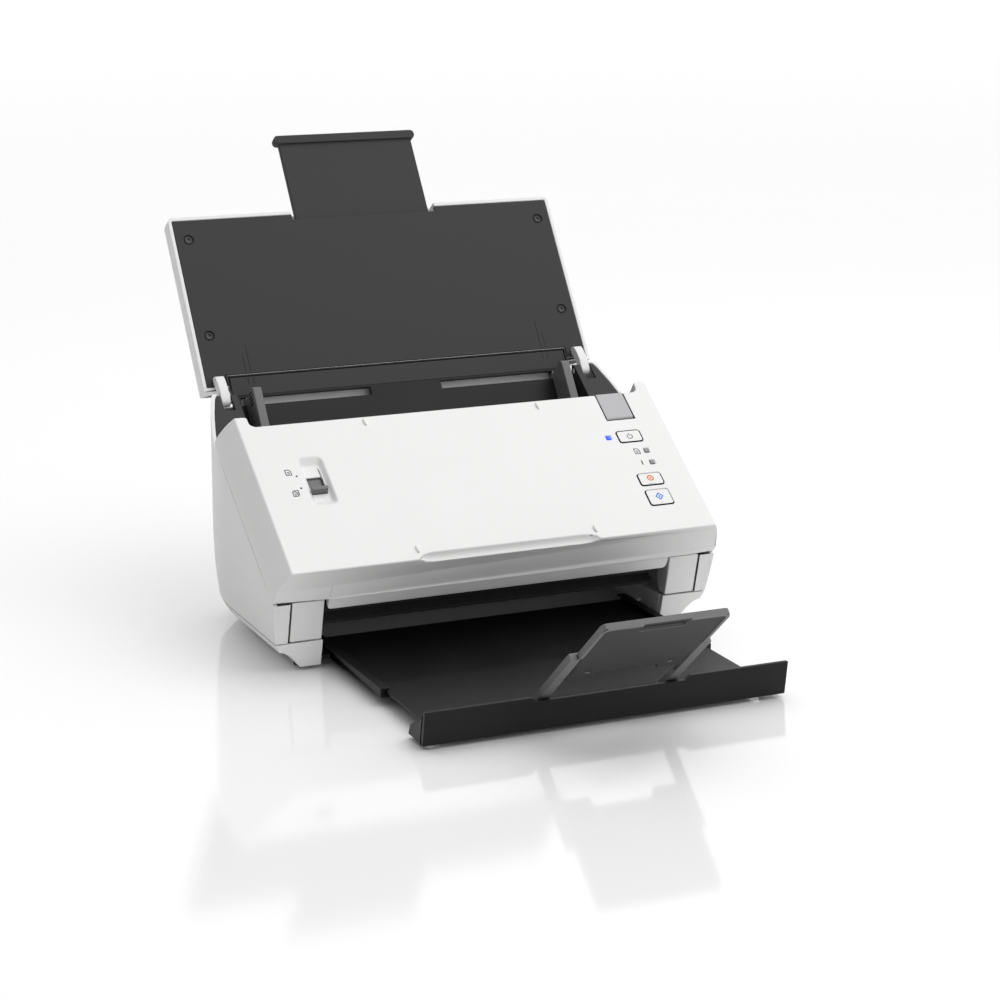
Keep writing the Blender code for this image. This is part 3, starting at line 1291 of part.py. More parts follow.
def tray_extension():
    half = EXTENSION_WIDTH / 2
    end = TRAY_LENGTH + EXTENSION_REACH
    plate = block((-half, half), (EXTENSION_LOW, end - BAR_LENGTH / 2), (-EXTENSION_UNDER, -EXTENSION_OVER))
    thing = piece("tray_extension", DARK, plate, TRAY)
    bar = rounded(-BAR_HALF, end - BAR_LENGTH, BAR_HALF, end, BAR_ROUND, 4)
    join(thing, prism(bar, -BAR_UNDER, -BAR_OVER, "Z"), frame=TRAY)
    return thing


# Edge guides


def rack_outline():
    """The left rack: teeth face up, with a gap below the middle of the pinion."""
    pitch = math.pi * RACK_MODULE
    line = GUIDE_PINION_AT - RACK_RADIUS
    root = line - 1.2 * RACK_MODULE
    tip = line + 0.9 * RACK_MODULE
    count = int((GUIDE_IN + GUIDE_OUT + 2 * RACK_RADIUS) / pitch) + 1
    last = 1.5 * pitch
    points = []
    for k in range(count):
        middle = last - k * pitch
        points += [(middle + 0.30 * pitch, root), (middle + 0.12 * pitch, tip),
                   (middle - 0.12 * pitch, tip), (middle - 0.30 * pitch, root)]
    outer = -GUIDE_SPACING / 2 - GUIDE_THICK + RUN
    low = root - RACK_BACK
    right = last + pitch
    return [(outer, low), (right, low), (right, root)] + points + [(outer, root)]


def guide_wall():
    """An edge guide seen from the side: it follows the bend and ends clear of the cover's inner guide."""
    nose = FACE @ Vector((0, FACE_LENGTH + INNER_TAIL + INNER_BEND, UPPER_PATH + INNER_BEND))
    low = (TRAY.inverted() @ nose).y + GUIDE_CLEAR
    bent = (TRAY.inverted() @ Vector((0, *tray_meets_path(RUN)))).y + BEND_LENGTH
    rise = (bent - low) * math.tan(TRAY_ANGLE - FACE_ANGLE)
    return [(low, RUN + rise), (bent, RUN), (GUIDE_HIGH - GUIDE_LEAN, RUN),
            (GUIDE_HIGH, GUIDE_HEIGHT - GUIDE_CREST),
            (GUIDE_HIGH - GUIDE_LEAN / 2, GUIDE_HEIGHT), (low + GUIDE_LEAN, GUIDE_HEIGHT),
            (low, GUIDE_HEIGHT - 2 * GUIDE_CREST)]


def edge_guide(name, side):
    inner = GUIDE_SPACING / 2
    outer = inner + GUIDE_THICK
    wall = guide_wall()
    guide = piece(name, GREY, prism(wall, *span(side, inner, outer)), TRAY)
    stem = span(side, inner + RUN, outer - RUN)
    rack = rack_outline()
    reach = (GUIDE_PINION_AT - RACK_RADIUS - RACK_BACK + SEAM, GUIDE_PINION_AT)
    if side > 0:
        rack = [(-x, 2 * GUIDE_PINION_AT - u) for x, u in rack]
        reach = (GUIDE_PINION_AT, 2 * GUIDE_PINION_AT - reach[0])
    join(guide, block(stem, (GUIDE_PINION_AT - GUIDE_STEM, GUIDE_PINION_AT + GUIDE_STEM),
                      (RACK_LOW + GAP, SHEET / 2)),
         block((stem[0] + GAP, stem[1] - GAP), reach, (RACK_LOW + 2 * GAP, RACK_TOP - GAP)),
         prism(rack, RACK_LOW, RACK_TOP, "Z"), frame=TRAY)
    return guide


def guide_pinion():
    shape = gear(RACK_TEETH, RACK_MODULE, -RACK_THICK / 2, RACK_THICK / 2, PIN_RADIUS + GAP)
    shape.transform(Matrix.Rotation(math.pi / 2, 4, "Y"))
    return piece("guide_pinion", NYLON, at(shape, 0, GUIDE_PINION_AT, RACK_TOP - RACK_THICK / 2), TRAY)


# Output tray and stopper


def output_tray():
    inner = STAGE_ONE_HALF - STAGE_RAIL
    hold = STAGE_TWO_TOP + RUN
    top = hold + STAGE_HOLD
    outline = both([(STAGE_ONE_HALF, STAGE_ONE_LOW), (STAGE_ONE_HALF, top), (inner - WALL, top),
                    (inner - WALL, hold),
                    (inner, hold), (inner, STAGE_ONE_TOP)])
    tray = piece("output_tray", BLACK, prism(outline, STAGE_ONE_FRONT, STAGE_ONE_REAR, "Y"))
    wing = BAY_HALF - RUN
    join(tray, block((-wing, wing), (STAGE_ONE_WING, STAGE_ONE_REAR - GAP),
                     (STAGE_ONE_LOW + GAP / 2, STAGE_ONE_TOP - GAP / 2)))
    return tray


def lip_profile():
    """Side outline of the lip: a leaning front over a short foot."""
    foot = LIP_FRONT + LIP_LEAN
    return [(foot, CASE_BOTTOM), (foot + LIP_THICK + SEAM, CASE_BOTTOM), (foot + LIP_THICK, STAGE_TWO_TOP),
            (LIP_FRONT + LIP_THICK, LIP_TOP), (LIP_FRONT, LIP_TOP)]


def stopper_ear():
    """Side outline of the ear that carries the stopper's rod."""
    foot = STAGE_TWO_TOP - SHEET / 2
    top = STOP_AXIS_Z + STOP_EAR_RISE
    narrow = STOP_EAR_HALF - SHEET / 2
    return [(STOP_AXIS_Y - STOP_EAR_HALF, foot), (STOP_AXIS_Y + STOP_EAR_HALF, foot),
            (STOP_AXIS_Y + narrow, top),
            (STOP_AXIS_Y - narrow, top)]


def output_extension():
    tray = piece("output_extension", BLACK, prism(lip_profile(), -LIP_HALF, LIP_HALF))
    near = LIP_FRONT + LIP_LEAN + SHEET / 2
    join(tray, block((-STAGE_TWO_HALF, STAGE_TWO_HALF), (near, STAGE_TWO_REAR),
                     (STAGE_TWO_LOW, STAGE_TWO_TOP)))
    low = CASE_BOTTOM + GAP
    far = LIP_FRONT + CHEEK_LENGTH
    cheek = [(near, low), (far, low), (far - LIP_LEAN, STAGE_TWO_TOP),
             (near + LIP_LEAN, LIP_TOP - 2 * LIP_LEAN),
             (LIP_FRONT + SHEET / 2, LIP_TOP - SHEET / 2)]
    for side in (-1, 1):
        join(tray, prism(cheek, *span(side, STAGE_ONE_HALF + SEAM, LIP_HALF - GAP)))
        join(tray, prism(stopper_ear(), *span(side, STOP_HALF + RUN, STOP_HALF + RUN + WALL)))
        cut(tray, at(hole(STOP_ROD + GAP, 4 * SHEET, 12), side * (STOP_HALF + RUN), STOP_AXIS_Y, STOP_AXIS_Z))
    dip = both([(LIP_DIP_HALF + LIP_DIP_SLOPE, LIP_TOP + SHEET),
                (LIP_DIP_HALF + LIP_DIP_SLOPE, LIP_TOP + SEAM),
                (LIP_DIP_HALF, LIP_TOP - LIP_DIP)])
    cut(tray, prism(dip, LIP_FRONT - OVERCUT, LIP_FRONT + OVERCUT, "Y"))
    return tray


def stopper_arms():
    reach = STOP_HALF + RUN + SHEET
    arms = piece("stopper_arms", GREY, hole(STOP_ROD, 2 * reach, 12), STOPPER)
    heel = STOP_ROD + SHEET / 2
    side_view = [(-heel, -STOP_BACK), (STOP_ARM, -STOP_BACK), (STOP_ARM, STOP_FRONT), (SEAM, STOP_FRONT),
                 (-heel, STOP_ROD)]
    for side in (-1, 1):
        join(arms, prism(side_view, *span(side, STOP_INNER, STOP_HALF)), frame=STOPPER)
        groove = block(span(side, STOP_INNER - SHEET, STOP_INNER + PLATE_TONGUE + RUN),
                       (PLATE_START - PLATE_TRAVEL, STOP_ARM + OVERCUT),
                       (PLATE_TONGUE_AT - RUN, PLATE_TONGUE_AT + PLATE_TONGUE + RUN))
        cut(arms, groove, frame=STOPPER)
    return arms


def stopper_plate():
    narrow = STOP_INNER - RUN
    wide = narrow + PLATE_SPREAD
    shoulder = STOP_ARM + GAP
    tab = narrow - PLATE_TAB
    right = [(tab - SHEET, PLATE_START + PLATE_STEP), (tab, PLATE_START), (narrow, PLATE_START),
             (narrow, shoulder),
             (wide, shoulder)]
    right += arc((wide - PLATE_ROUND, PLATE_REACH - PLATE_ROUND), PLATE_ROUND, 0, math.pi / 2, 3)
    plate = piece("stopper_plate", DARK, prism(both(right), STOP_FRONT - PLATE_THICK, STOP_FRONT, "Z"),
                  STOPPER)
    reach = narrow + PLATE_TONGUE
    tongue = block((-reach, reach), (PLATE_START + PLATE_STEP + SEAM, shoulder - SEAM),
                   (PLATE_TONGUE_AT, PLATE_TONGUE_AT + PLATE_TONGUE))
    join(plate, tongue, frame=STOPPER)
    grip = PLATE_REACH - GRIP_RIM
    cut(plate, block((-GRIP_HALF, GRIP_HALF), (grip - GRIP_LENGTH, grip), (STOP_FRONT - GRIP_DEPTH, OVERCUT)),
        frame=STOPPER)
    return plate


# Assembly: each moving piece hangs on an empty that lies on its joint axis


def pivot(name, place, parent=None):
    spot = bpy.data.objects.new(name, None)
    spot.empty_display_size = OVERCUT
    bpy.context.collection.objects.link(spot)
    spot["place"] = list(place)
    base = Vector(parent["place"]) if parent else Vector()
    spot.location = Vector(place) - base
    spot.parent = parent
    return spot


def hang(spot, *things):
    """Move each piece's origin to the empty and parent it there."""
    for thing in things:
        thing.data.transform(Matrix.Translation(-Vector(spot["place"])))
        thing.parent = spot
        thing.data.shade_smooth()
        thing.data.set_sharp_from_angle(angle=math.radians(32))


def hang_base(root):
    sensor_half = GLASS_HALF + SENSOR_EDGE
    under = LOWER_PATH - SHEET - GAP
    hang(root, bottom_case(), *feet(), side_panel("side_panel_left", -1), side_panel("side_panel_right", 1),
         side_trim("side_trim_left", -1), side_trim("side_trim_right", 1), rear_panel(), power_inlet(),
         usb_port(),
         main_board(), paper_ramp(), lower_paper_guide(),
         scan_glass("lower_scan_glass", LOWER_PATH - BOARD_SHEET, LOWER_PATH - GAP),
         sensor_bar("lower_sensor_bar", under, -1, sensor_half),
         frame_side("frame_side_left", -1), frame_side("frame_side_right", 1), drive_motor())


def hang_drive(root):
    wheels = gears()
    shafts = base_rollers()
    turning = {"exit": (EXIT_AT, ROLLER_DEPTH), "feed": (FEED_AT, ROLLER_DEPTH),
               "pickup": (PICKUP_AT, ROLLER_DEPTH),
               "idler": (IDLER_AT, ROLLER_DEPTH), "small": (SMALL_IDLER_AT, ROLLER_DEPTH),
               "motor": (FEED_AT, MOTOR_DEPTH)}
    for name, (along, depth) in turning.items():
        spot = pivot(name + "_axis", FACE @ Vector((0, along, depth)), root)
        hang(spot, wheels[name])
        if name in shafts:
            hang(spot, shafts[name])


def hang_cover(root):
    spot = pivot("cover_axis", (0, COVER_AXIS_Y, COVER_AXIS_Z), root)
    over = UPPER_PATH + SHEET + GAP
    hang(spot, front_cover(), cover_inner_guide(), button_board(),
         scan_glass("upper_scan_glass", UPPER_PATH + GAP, UPPER_PATH + BOARD_SHEET),
         sensor_bar("upper_sensor_bar", over, 1, GLASS_HALF - SHEET),
         hinge_block("hinge_block_left", -1), hinge_block("hinge_block_right", 1),
         led("led_power", LEDS[0], BLUE_LENS), led("led_upper", LEDS[1], DARK_LENS),
         led("led_lower", LEDS[2], DARK_LENS))
    places = {"exit": (EXIT_AT, PINCH_DEPTH), "feed": (FEED_AT, PINCH_DEPTH), "part": (PICKUP_AT, PART_DEPTH)}
    for name, thing in cover_rollers().items():
        hang(pivot(name + "_pinch_axis", FACE @ Vector((0, *places[name])), spot), thing)
    hang(pivot("lever_axis", FACE @ Vector((LEVER[0], *LEVER_AXIS)), spot), cover_lever())
    for name, place in (("power_button", POWER), ("stop_button", STOP), ("start_button", START)):
        hang(pivot(name + "_slide", FACE @ Vector((place[0], place[1], 0)), spot), press_button(name, place))
    hang(pivot("selector_slide", FACE @ Vector((SELECTOR[0], KNOB_AT, 0)), spot), feed_selector())


def hang_input(root):
    spot = pivot("tray_axis", (0, TRAY_AXIS_Y, TRAY_AXIS_Z), root)
    hang(spot, tray_shell(), tray_face(), tray_arm("tray_arm_left", -1), tray_arm("tray_arm_right", 1))
    hang(pivot("extension_slide", TRAY @ Vector((0, TRAY_LENGTH, -EXTENSION_UNDER)), spot), tray_extension())
    for name, side in (("edge_guide_left", -1), ("edge_guide_right", 1)):
        place = TRAY @ Vector((side * GUIDE_SPACING / 2, GUIDE_PINION_AT, 0))
        hang(pivot(name + "_slide", place, root), edge_guide(name, side))
    hang(pivot("pinion_axis", TRAY @ Vector((0, GUIDE_PINION_AT, RACK_TOP)), root), guide_pinion())


def hang_output(root):
    first = pivot("output_slide", (0, STAGE_ONE_FRONT, STAGE_ONE_LOW), root)
    hang(first, output_tray())
    second = pivot("output_extension_slide", (0, LIP_FRONT, STAGE_TWO_LOW), first)
    hang(second, output_extension())
    spot = pivot("stopper_axis", (0, STOP_AXIS_Y, STOP_AXIS_Z), second)
    hang(spot, stopper_arms())
    hang(pivot("stopper_plate_slide", STOPPER @ Vector((0, STOP_ARM, 0)), spot), stopper_plate())


def centre(root):
    """Put the middle of the whole object's depth on the origin."""
    bpy.context.view_layer.update()
    depths = []
    for thing in bpy.data.objects:
        if thing.type == "MESH":
            depths += [(thing.matrix_world @ Vector(corner)).y for corner in thing.bound_box]
    root.location.y = -(min(depths) + max(depths)) / 2
    bpy.context.view_layer.update()


def assemble():
    root = pivot("scanner", (0, 0, 0))
    hang_base(root)
    hang_drive(root)
    hang_cover(root)
    hang_input(root)
    hang_output(root)
    centre(root)


assemble()
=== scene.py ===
"""Looks of the sheet-fed document scanner: finishes, soft edges, printed marks, floor, light and camera."""
import json
import math

import bmesh
import bpy
from mathutils import Matrix, Vector
from mathutils.bvhtree import BVHTree


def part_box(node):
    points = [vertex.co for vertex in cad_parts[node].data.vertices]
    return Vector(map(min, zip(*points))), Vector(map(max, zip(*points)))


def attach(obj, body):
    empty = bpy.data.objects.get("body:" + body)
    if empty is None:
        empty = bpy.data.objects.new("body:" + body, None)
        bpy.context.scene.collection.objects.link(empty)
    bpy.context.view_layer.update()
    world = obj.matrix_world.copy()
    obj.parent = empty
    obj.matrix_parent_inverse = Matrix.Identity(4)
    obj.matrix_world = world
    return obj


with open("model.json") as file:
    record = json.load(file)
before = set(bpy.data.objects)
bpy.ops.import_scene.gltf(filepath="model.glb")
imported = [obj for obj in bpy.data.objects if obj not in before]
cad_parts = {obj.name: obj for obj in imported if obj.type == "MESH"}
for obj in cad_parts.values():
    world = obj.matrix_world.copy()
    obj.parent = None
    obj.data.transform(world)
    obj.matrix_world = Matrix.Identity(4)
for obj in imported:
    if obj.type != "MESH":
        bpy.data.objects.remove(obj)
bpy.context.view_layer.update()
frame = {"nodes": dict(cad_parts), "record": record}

# Frames of the sloped face, of the input tray and of the stopper, worked out from the joints
JOINTS = {joint["name"]: joint for joint in frame["record"]["behaviour"]["joints"]}
FEED_AT = 0.088
ROLLER_DEPTH = -0.057
PINION_AT = -0.009
PINION_DEPTH = -0.0046
COVER_AXIS_Y = 0.008


def axis_of(name, sign=1):
    return sign * Vector(JOINTS[name]["axis"]).normalized()


def place_of(name):
    return Vector(JOINTS[name]["pos_m"])


def sloped(origin, along, out):
    """A frame whose X is the machine's, whose Y runs along a slope and whose Z stands on it."""
    turn = Matrix((Vector((1, 0, 0)), along, out)).transposed().to_4x4()
    return Matrix.Translation(origin) @ turn


FACE_ALONG = axis_of("selector_slide")
FACE_OUT = axis_of("power_press", -1)
FACE = sloped(place_of("feed_turn") - FEED_AT * FACE_ALONG - ROLLER_DEPTH * FACE_OUT, FACE_ALONG, FACE_OUT)
TRAY_ALONG = axis_of("input_extension_slide", -1)
TRAY_OUT = axis_of("guide_gear_turn")
TRAY_FOOT = place_of("guide_gear_turn") - PINION_AT * TRAY_ALONG - PINION_DEPTH * TRAY_OUT
TRAY = sloped(TRAY_FOOT, TRAY_ALONG, TRAY_OUT)
STOP_ALONG = axis_of("stopper_plate_slide", -1)
STOPPER = sloped(place_of("stopper_hinge"), STOP_ALONG, Vector((1, 0, 0)).cross(STOP_ALONG))
GROUND = Matrix()
SHIFT_Y = place_of("cover_hinge").y - COVER_AXIS_Y


# Finishes

NOISE_RANGE = (0.3, 0.7)
TINT_RANGE = (0.35, 0.65)
MOTTLE_SCALE = 22
STREAK_SCALE = 60
STREAK_STRETCH = (1, 40, 40)
SMEAR_SCALE = 40
CELL_SCALE = 260
CELL_RANGE = (0.45, 0.60)
CLOUD_SCALE = 500


def tree(material):
    material.use_nodes = True
    nodes = material.node_tree.nodes
    return nodes, material.node_tree.links, nodes["Principled BSDF"]


def noise(nodes, links, scale, detail=2.0, stretch=None):
    """Noise in the piece's own coordinates."""
    coordinates = nodes.new("ShaderNodeTexCoord")
    texture = nodes.new("ShaderNodeTexNoise")
    texture.inputs["Scale"].default_value = scale
    texture.inputs["Detail"].default_value = detail
    if stretch:
        mapping = nodes.new("ShaderNodeMapping")
        mapping.inputs["Scale"].default_value = stretch
        links.new(coordinates.outputs["Object"], mapping.inputs["Vector"])
        links.new(mapping.outputs["Vector"], texture.inputs["Vector"])
    else:
        links.new(coordinates.outputs["Object"], texture.inputs["Vector"])
    return texture


def spread(nodes, links, texture, low, high):
    """Noise turned into a number between two limits."""
    span = nodes.new("ShaderNodeMapRange")
    span.inputs["From Min"].default_value, span.inputs["From Max"].default_value = NOISE_RANGE
    span.inputs["To Min"].default_value = low
    span.inputs["To Max"].default_value = high
    links.new(texture.outputs["Fac"], span.inputs["Value"])
    return span.outputs["Result"]


def graded(nodes, links, value, between, low, high):
    """A value turned into a colour between two others."""
    ramp = nodes.new("ShaderNodeValToRGB")
    for element, position, colour in zip(ramp.color_ramp.elements, between, (low, high)):
        element.position = position
        element.color = (*colour, 1)
    links.new(value, ramp.inputs["Fac"])
    return ramp.outputs["Color"]


def tint(nodes, links, texture, low, high):
    """Noise turned into a colour between two others."""
    return graded(nodes, links, texture.outputs["Fac"], TINT_RANGE, low, high)


def relief(nodes, links, texture, strength, depth):
    """Noise turned into a fine unevenness of the surface."""
    bump = nodes.new("ShaderNodeBump")
    bump.inputs["Strength"].default_value = strength
    bump.inputs["Distance"].default_value = depth
    links.new(texture.outputs["Fac"], bump.inputs["Height"])
    return bump.outputs["Normal"]


def moulded(name, low, high, rough, grain=1500, strength=0.25, depth=0.00008, specular=0.5, metallic=0.0,
            sway=0.04):
    """Moulded plastic: faint mottling, a fine grain and uneven gloss."""
    material = bpy.data.materials.new(name)
    nodes, links, surface = tree(material)
    broad = noise(nodes, links, MOTTLE_SCALE, 3)
    fine = noise(nodes, links, grain, 2)
    links.new(tint(nodes, links, broad, low, high), surface.inputs["Base Color"])
    links.new(spread(nodes, links, broad, rough - sway, rough + sway), surface.inputs["Roughness"])
    links.new(relief(nodes, links, fine, strength, depth), surface.inputs["Normal"])
    surface.inputs["Specular IOR Level"].default_value = specular
    surface.inputs["Metallic"].default_value = metallic
    return material


def drawn_steel(name, low, high):
    """Sheet steel with marks of drawing along X."""
    material = bpy.data.materials.new(name)
    nodes, links, surface = tree(material)
    streak = noise(nodes, links, STREAK_SCALE, 4, STREAK_STRETCH)
    links.new(tint(nodes, links, streak, low, high), surface.inputs["Base Color"])
    links.new(spread(nodes, links, streak, 0.28, 0.42), surface.inputs["Roughness"])
    links.new(relief(nodes, links, streak, 0.15, 0.00005), surface.inputs["Normal"])
    surface.inputs["Metallic"].default_value = 1.0
    return material


def clear_strip(name, low, high):
    """Clear glass with a faint smear."""
    material = bpy.data.materials.new(name)
    nodes, links, surface = tree(material)
    smear = noise(nodes, links, SMEAR_SCALE, 3)
    links.new(tint(nodes, links, smear, low, high), surface.inputs["Base Color"])
    links.new(spread(nodes, links, smear, 0.02, 0.08), surface.inputs["Roughness"])
    surface.inputs["Transmission Weight"].default_value = 0.85
    surface.inputs["IOR"].default_value = 1.5
    return material


def circuit(name, low, high):
    """A coated board with lighter traces."""
    material = bpy.data.materials.new(name)
    nodes, links, surface = tree(material)
    coordinates = nodes.new("ShaderNodeTexCoord")
    cells = nodes.new("ShaderNodeTexVoronoi")
    cells.distance = "MANHATTAN"
    cells.feature = "F1"
    cells.inputs["Scale"].default_value = CELL_SCALE
    links.new(coordinates.outputs["Object"], cells.inputs["Vector"])
    colour = graded(nodes, links, cells.outputs["Distance"], CELL_RANGE, low, high)
    links.new(colour, surface.inputs["Base Color"])
    surface.inputs["Roughness"].default_value = 0.4
    return material


def lens(name, low, high, glow=0.0):
    """A small light window, lit from behind when it glows."""
    material = bpy.data.materials.new(name)
    nodes, links, surface = tree(material)
    cloud = noise(nodes, links, CLOUD_SCALE, 2)
    colour = tint(nodes, links, cloud, low, high)
    links.new(colour, surface.inputs["Base Color"])
    links.new(spread(nodes, links, cloud, 0.08, 0.16), surface.inputs["Roughness"])
    if glow:
        links.new(colour, surface.inputs["Emission Color"])
        surface.inputs["Emission Strength"].default_value = glow
    return material


WHITE = moulded("white_plastic", (0.80, 0.80, 0.795), (0.82, 0.82, 0.815), rough=0.42,
                grain=1700, strength=0.12, depth=0.00006)
DARK = moulded("dark_plastic", (0.032, 0.032, 0.033), (0.036, 0.036, 0.037), rough=0.55,
               grain=1300, strength=0.35, depth=0.00010, specular=0.25)
BLACK = moulded("black_plastic", (0.008, 0.008, 0.008), (0.010, 0.010, 0.010), rough=0.42,
                grain=1300, strength=0.30, depth=0.00008, specular=0.22)
GREY = moulded("grey_plastic", (0.135, 0.135, 0.137), (0.150, 0.150, 0.152), rough=0.45)
SILVER = moulded("silver_plastic", (0.42, 0.42, 0.43), (0.45, 0.45, 0.46), rough=0.40,
                 grain=1800, strength=0.20, depth=0.00006)
RUBBER = moulded("rubber", (0.018, 0.018, 0.018), (0.032, 0.032, 0.032), rough=0.85,
                 grain=900, strength=0.45, depth=0.00012, specular=0.3)
NYLON = moulded("nylon", (0.68, 0.67, 0.62), (0.76, 0.75, 0.70), rough=0.48,
                grain=1200, strength=0.15, depth=0.00006)
STEEL = drawn_steel("steel", (0.42, 0.42, 0.43), (0.62, 0.62, 0.63))
GLASS = clear_strip("glass", (0.70, 0.80, 0.80), (0.80, 0.88, 0.88))
BOARD = circuit("board", (0.012, 0.110, 0.040), (0.035, 0.240, 0.090))
BLUE_LENS = lens("blue_lens", (0.010, 0.050, 0.75), (0.020, 0.085, 0.95), glow=0.9)
DARK_LENS = lens("dark_lens", (0.20, 0.20, 0.21), (0.26, 0.26, 0.27))
INK = moulded("grey_ink", (0.050, 0.050, 0.052), (0.065, 0.065, 0.067), rough=0.5)
RED_INK = moulded("red_ink", (0.66, 0.15, 0.015), (0.74, 0.20, 0.020), rough=0.5)
BLUE_INK = moulded("blue_ink", (0.015, 0.18, 0.70), (0.025, 0.22, 0.78), rough=0.5)
SCREW = moulded("screw", (0.030, 0.030, 0.031), (0.045, 0.045, 0.046), rough=0.35,
                grain=1500, strength=0.20, depth=0.00005, specular=0.6, metallic=0.6)
SLOTS = {"white_plastic": WHITE, "dark_plastic": DARK, "black_plastic": BLACK, "grey_plastic": GREY,
         "silver_plastic": SILVER, "rubber": RUBBER, "steel": STEEL, "glass": GLASS, "board": BOARD,
         "nylon": NYLON, "blue_lens": BLUE_LENS, "dark_lens": DARK_LENS}


# Edges of the carried-over pieces

SHARP_ANGLE = math.radians(26)
STRAIGHT_ANGLE = math.radians(35)
FLAT_ANGLE = math.radians(0.5)
WELD_GAP = 0.00001
ROOM_WIDTHS = 4
ROOM_SHARE = 0.4
SMALL_EDGE = 0.00025
SMALL_SEGMENTS = 2
EDGE_SEGMENTS = 3
EDGE = {"front_cover": 0.0009, "side_panel_left": 0.0004, "side_panel_right": 0.0004, "tray_shell": 0.0006,
        "bottom_case": 0.0003, "stopper_plate": 0.0004, "stopper_arms": 0.0007, "output_extension": 0.0006,
        "output_tray": 0.0005, "tray_extension": 0.0006, "edge_guide_left": 0.0006,
        "edge_guide_right": 0.0006, "cover_lever": 0.0004, "hinge_block_left": 0.0008,
        "hinge_block_right": 0.0008, "tray_face": 0.0003, "tray_arm_left": 0.0006, "tray_arm_right": 0.0006}
LEFT_SHARP = ("feed_selector",)
# The room behind the cover's openings: half its width, and its limits along and below the face
UNDER_HALF = 0.130
UNDER_ALONG = (0.010, 0.117)
UNDER_DEPTH = (-0.040, -0.0038)


def corners_of(mesh):
    """The sharp edges of a mesh whose faces may not share vertices, and what meets at their ends."""
    spots = [tuple(vertex.co) for vertex in mesh.vertices]
    sides = {}
    for face in mesh.polygons:
        for a, b in face.edge_keys:
            sides.setdefault(tuple(sorted((spots[a], spots[b]))), []).append(face.normal)
    sharp = {pair for pair, turns in sides.items()
             if len(turns) == 2 and turns[0].angle(turns[1], 0) > SHARP_ANGLE}
    ends = {}
    for a, b in sharp:
        ends.setdefault(a, []).append(b)
        ends.setdefault(b, []).append(a)
    return spots, sharp, ends


def straight_on(here, back, ahead):
    """Whether the way from back through here goes on to ahead without a corner."""
    return (Vector(here) - Vector(back)).angle(Vector(ahead) - Vector(here), 0) < STRAIGHT_ANGLE


def run_of(start, step, ends, enough):
    """How far a sharp edge runs from start by way of step before it turns a corner."""
    length = (Vector(step) - Vector(start)).length
    while length < enough:
        further = [spot for spot in ends[step] if spot != start and straight_on(step, start, spot)]
        if not further:
            break
        start, step = step, further[0]
        length += (Vector(step) - Vector(start)).length
    return length


def under_face(spot):
    """Whether a point is inside the cover, behind its openings."""
    x, s, t = FACE.inverted() @ Vector(spot)
    return abs(x) < UNDER_HALF and UNDER_ALONG[0] < s < UNDER_ALONG[1] and UNDER_DEPTH[0] < t < UNDER_DEPTH[1]


def mark_edges(mesh, width):
    """Weigh each sharp edge by the rounding that its neighbours leave room for."""
    spots, sharp, ends = corners_of(mesh)
    enough = ROOM_WIDTHS * width
    weights = {}
    for a, b in sharp:
        if under_face(a) and under_face(b):
            continue
        room = enough
        for here, back in ((a, b), (b, a)):
            for spot in ends[here]:
                if spot != back and not straight_on(here, back, spot):
                    room = min(room, run_of(here, spot, ends, enough), run_of(here, back, ends, enough))
        weights[a, b] = min(1.0, ROOM_SHARE * room / width)
    layer = mesh.attributes.new("bevel_weight_edge", "FLOAT", "EDGE")
    for edge in mesh.edges:
        pair = tuple(sorted(spots[k] for k in edge.vertices))
        layer.data[edge.index].value = weights.get(pair, 0.0)


def soften(thing, width, segments):
    """Clean the flat faces and round the sharp edges."""
    mesh = thing.data
    if "custom_normal" in mesh.attributes:
        mesh.attributes.remove(mesh.attributes["custom_normal"])
    mark_edges(mesh, width)
    for face in mesh.polygons:
        face.use_smooth = True
    weld = thing.modifiers.new("weld", "WELD")
    weld.merge_threshold = WELD_GAP
    flat = thing.modifiers.new("flat", "DECIMATE")
    flat.decimate_type = "DISSOLVE"
    flat.angle_limit = FLAT_ANGLE
    flat.delimit = {"MATERIAL"}
    bevel = thing.modifiers.new("edge", "BEVEL")
    bevel.width = width
    bevel.segments = segments
    bevel.limit_method = "WEIGHT"
    bevel.use_clamp_overlap = False
    shade = thing.modifiers.new("shade", "WEIGHTED_NORMAL")
    shade.keep_sharp = False


for item in frame["record"]["subparts"]:
    thing = frame["nodes"][item["node"]]
    thing.data.materials.clear()
    thing.data.materials.append(SLOTS[item["material_slot"]])
    if item["node"] in LEFT_SHARP:
        continue
    if item["node"] in EDGE:
        soften(thing, EDGE[item["node"]], EDGE_SEGMENTS)
    else:
        soften(thing, SMALL_EDGE, SMALL_SEGMENTS)


# Second colours on carried-over pieces: painted shade in the gaps round the buttons and the lever, a painted
# highlight on the stopper plate's rear rims, the tray shell's lower rim dark, and the paper ramp black below
# its nick, partly painted shade

CAPS = ("power_button", "stop_button", "start_button", "cover_lever")
CROWN_DEPTH = -0.0012
HOLE_GAP = 0.0009
HOLE_TOP = -0.00025
CAP_TOP = -0.0002
CAP_SIDE_TURN = 0.45
SHELL_RIM = 0.0125
SHELL_RIM_HALF = 0.128
PLATE_RIM = 0.067
RAMP_NICK = -0.005
NICK_TURN = 0.6
SIDE_TURN = 0.5


def paint(node, material, place, chosen):
    """Give another colour to the faces of a node that are chosen by their middle and way in a frame."""
    mesh = frame["nodes"][node].data
    mesh.materials.append(material)
    back = place.inverted()
    turn = back.to_3x3()
    for face in mesh.polygons:
        if chosen(back @ face.center, turn @ face.normal):
            face.material_index = len(mesh.materials) - 1


def crown_of(node):
    """The outline of a node's top, seen from in front of the face."""
    points = [FACE.inverted() @ vertex.co for vertex in frame["nodes"][node].data.vertices]
    points = [p for p in points if p.z > CROWN_DEPTH]
    return [(min(p[k] for p in points), max(p[k] for p in points)) for k in range(2)]


HOLES = [[(low - HOLE_GAP, high + HOLE_GAP) for low, high in crown_of(cap)] for cap in CAPS]


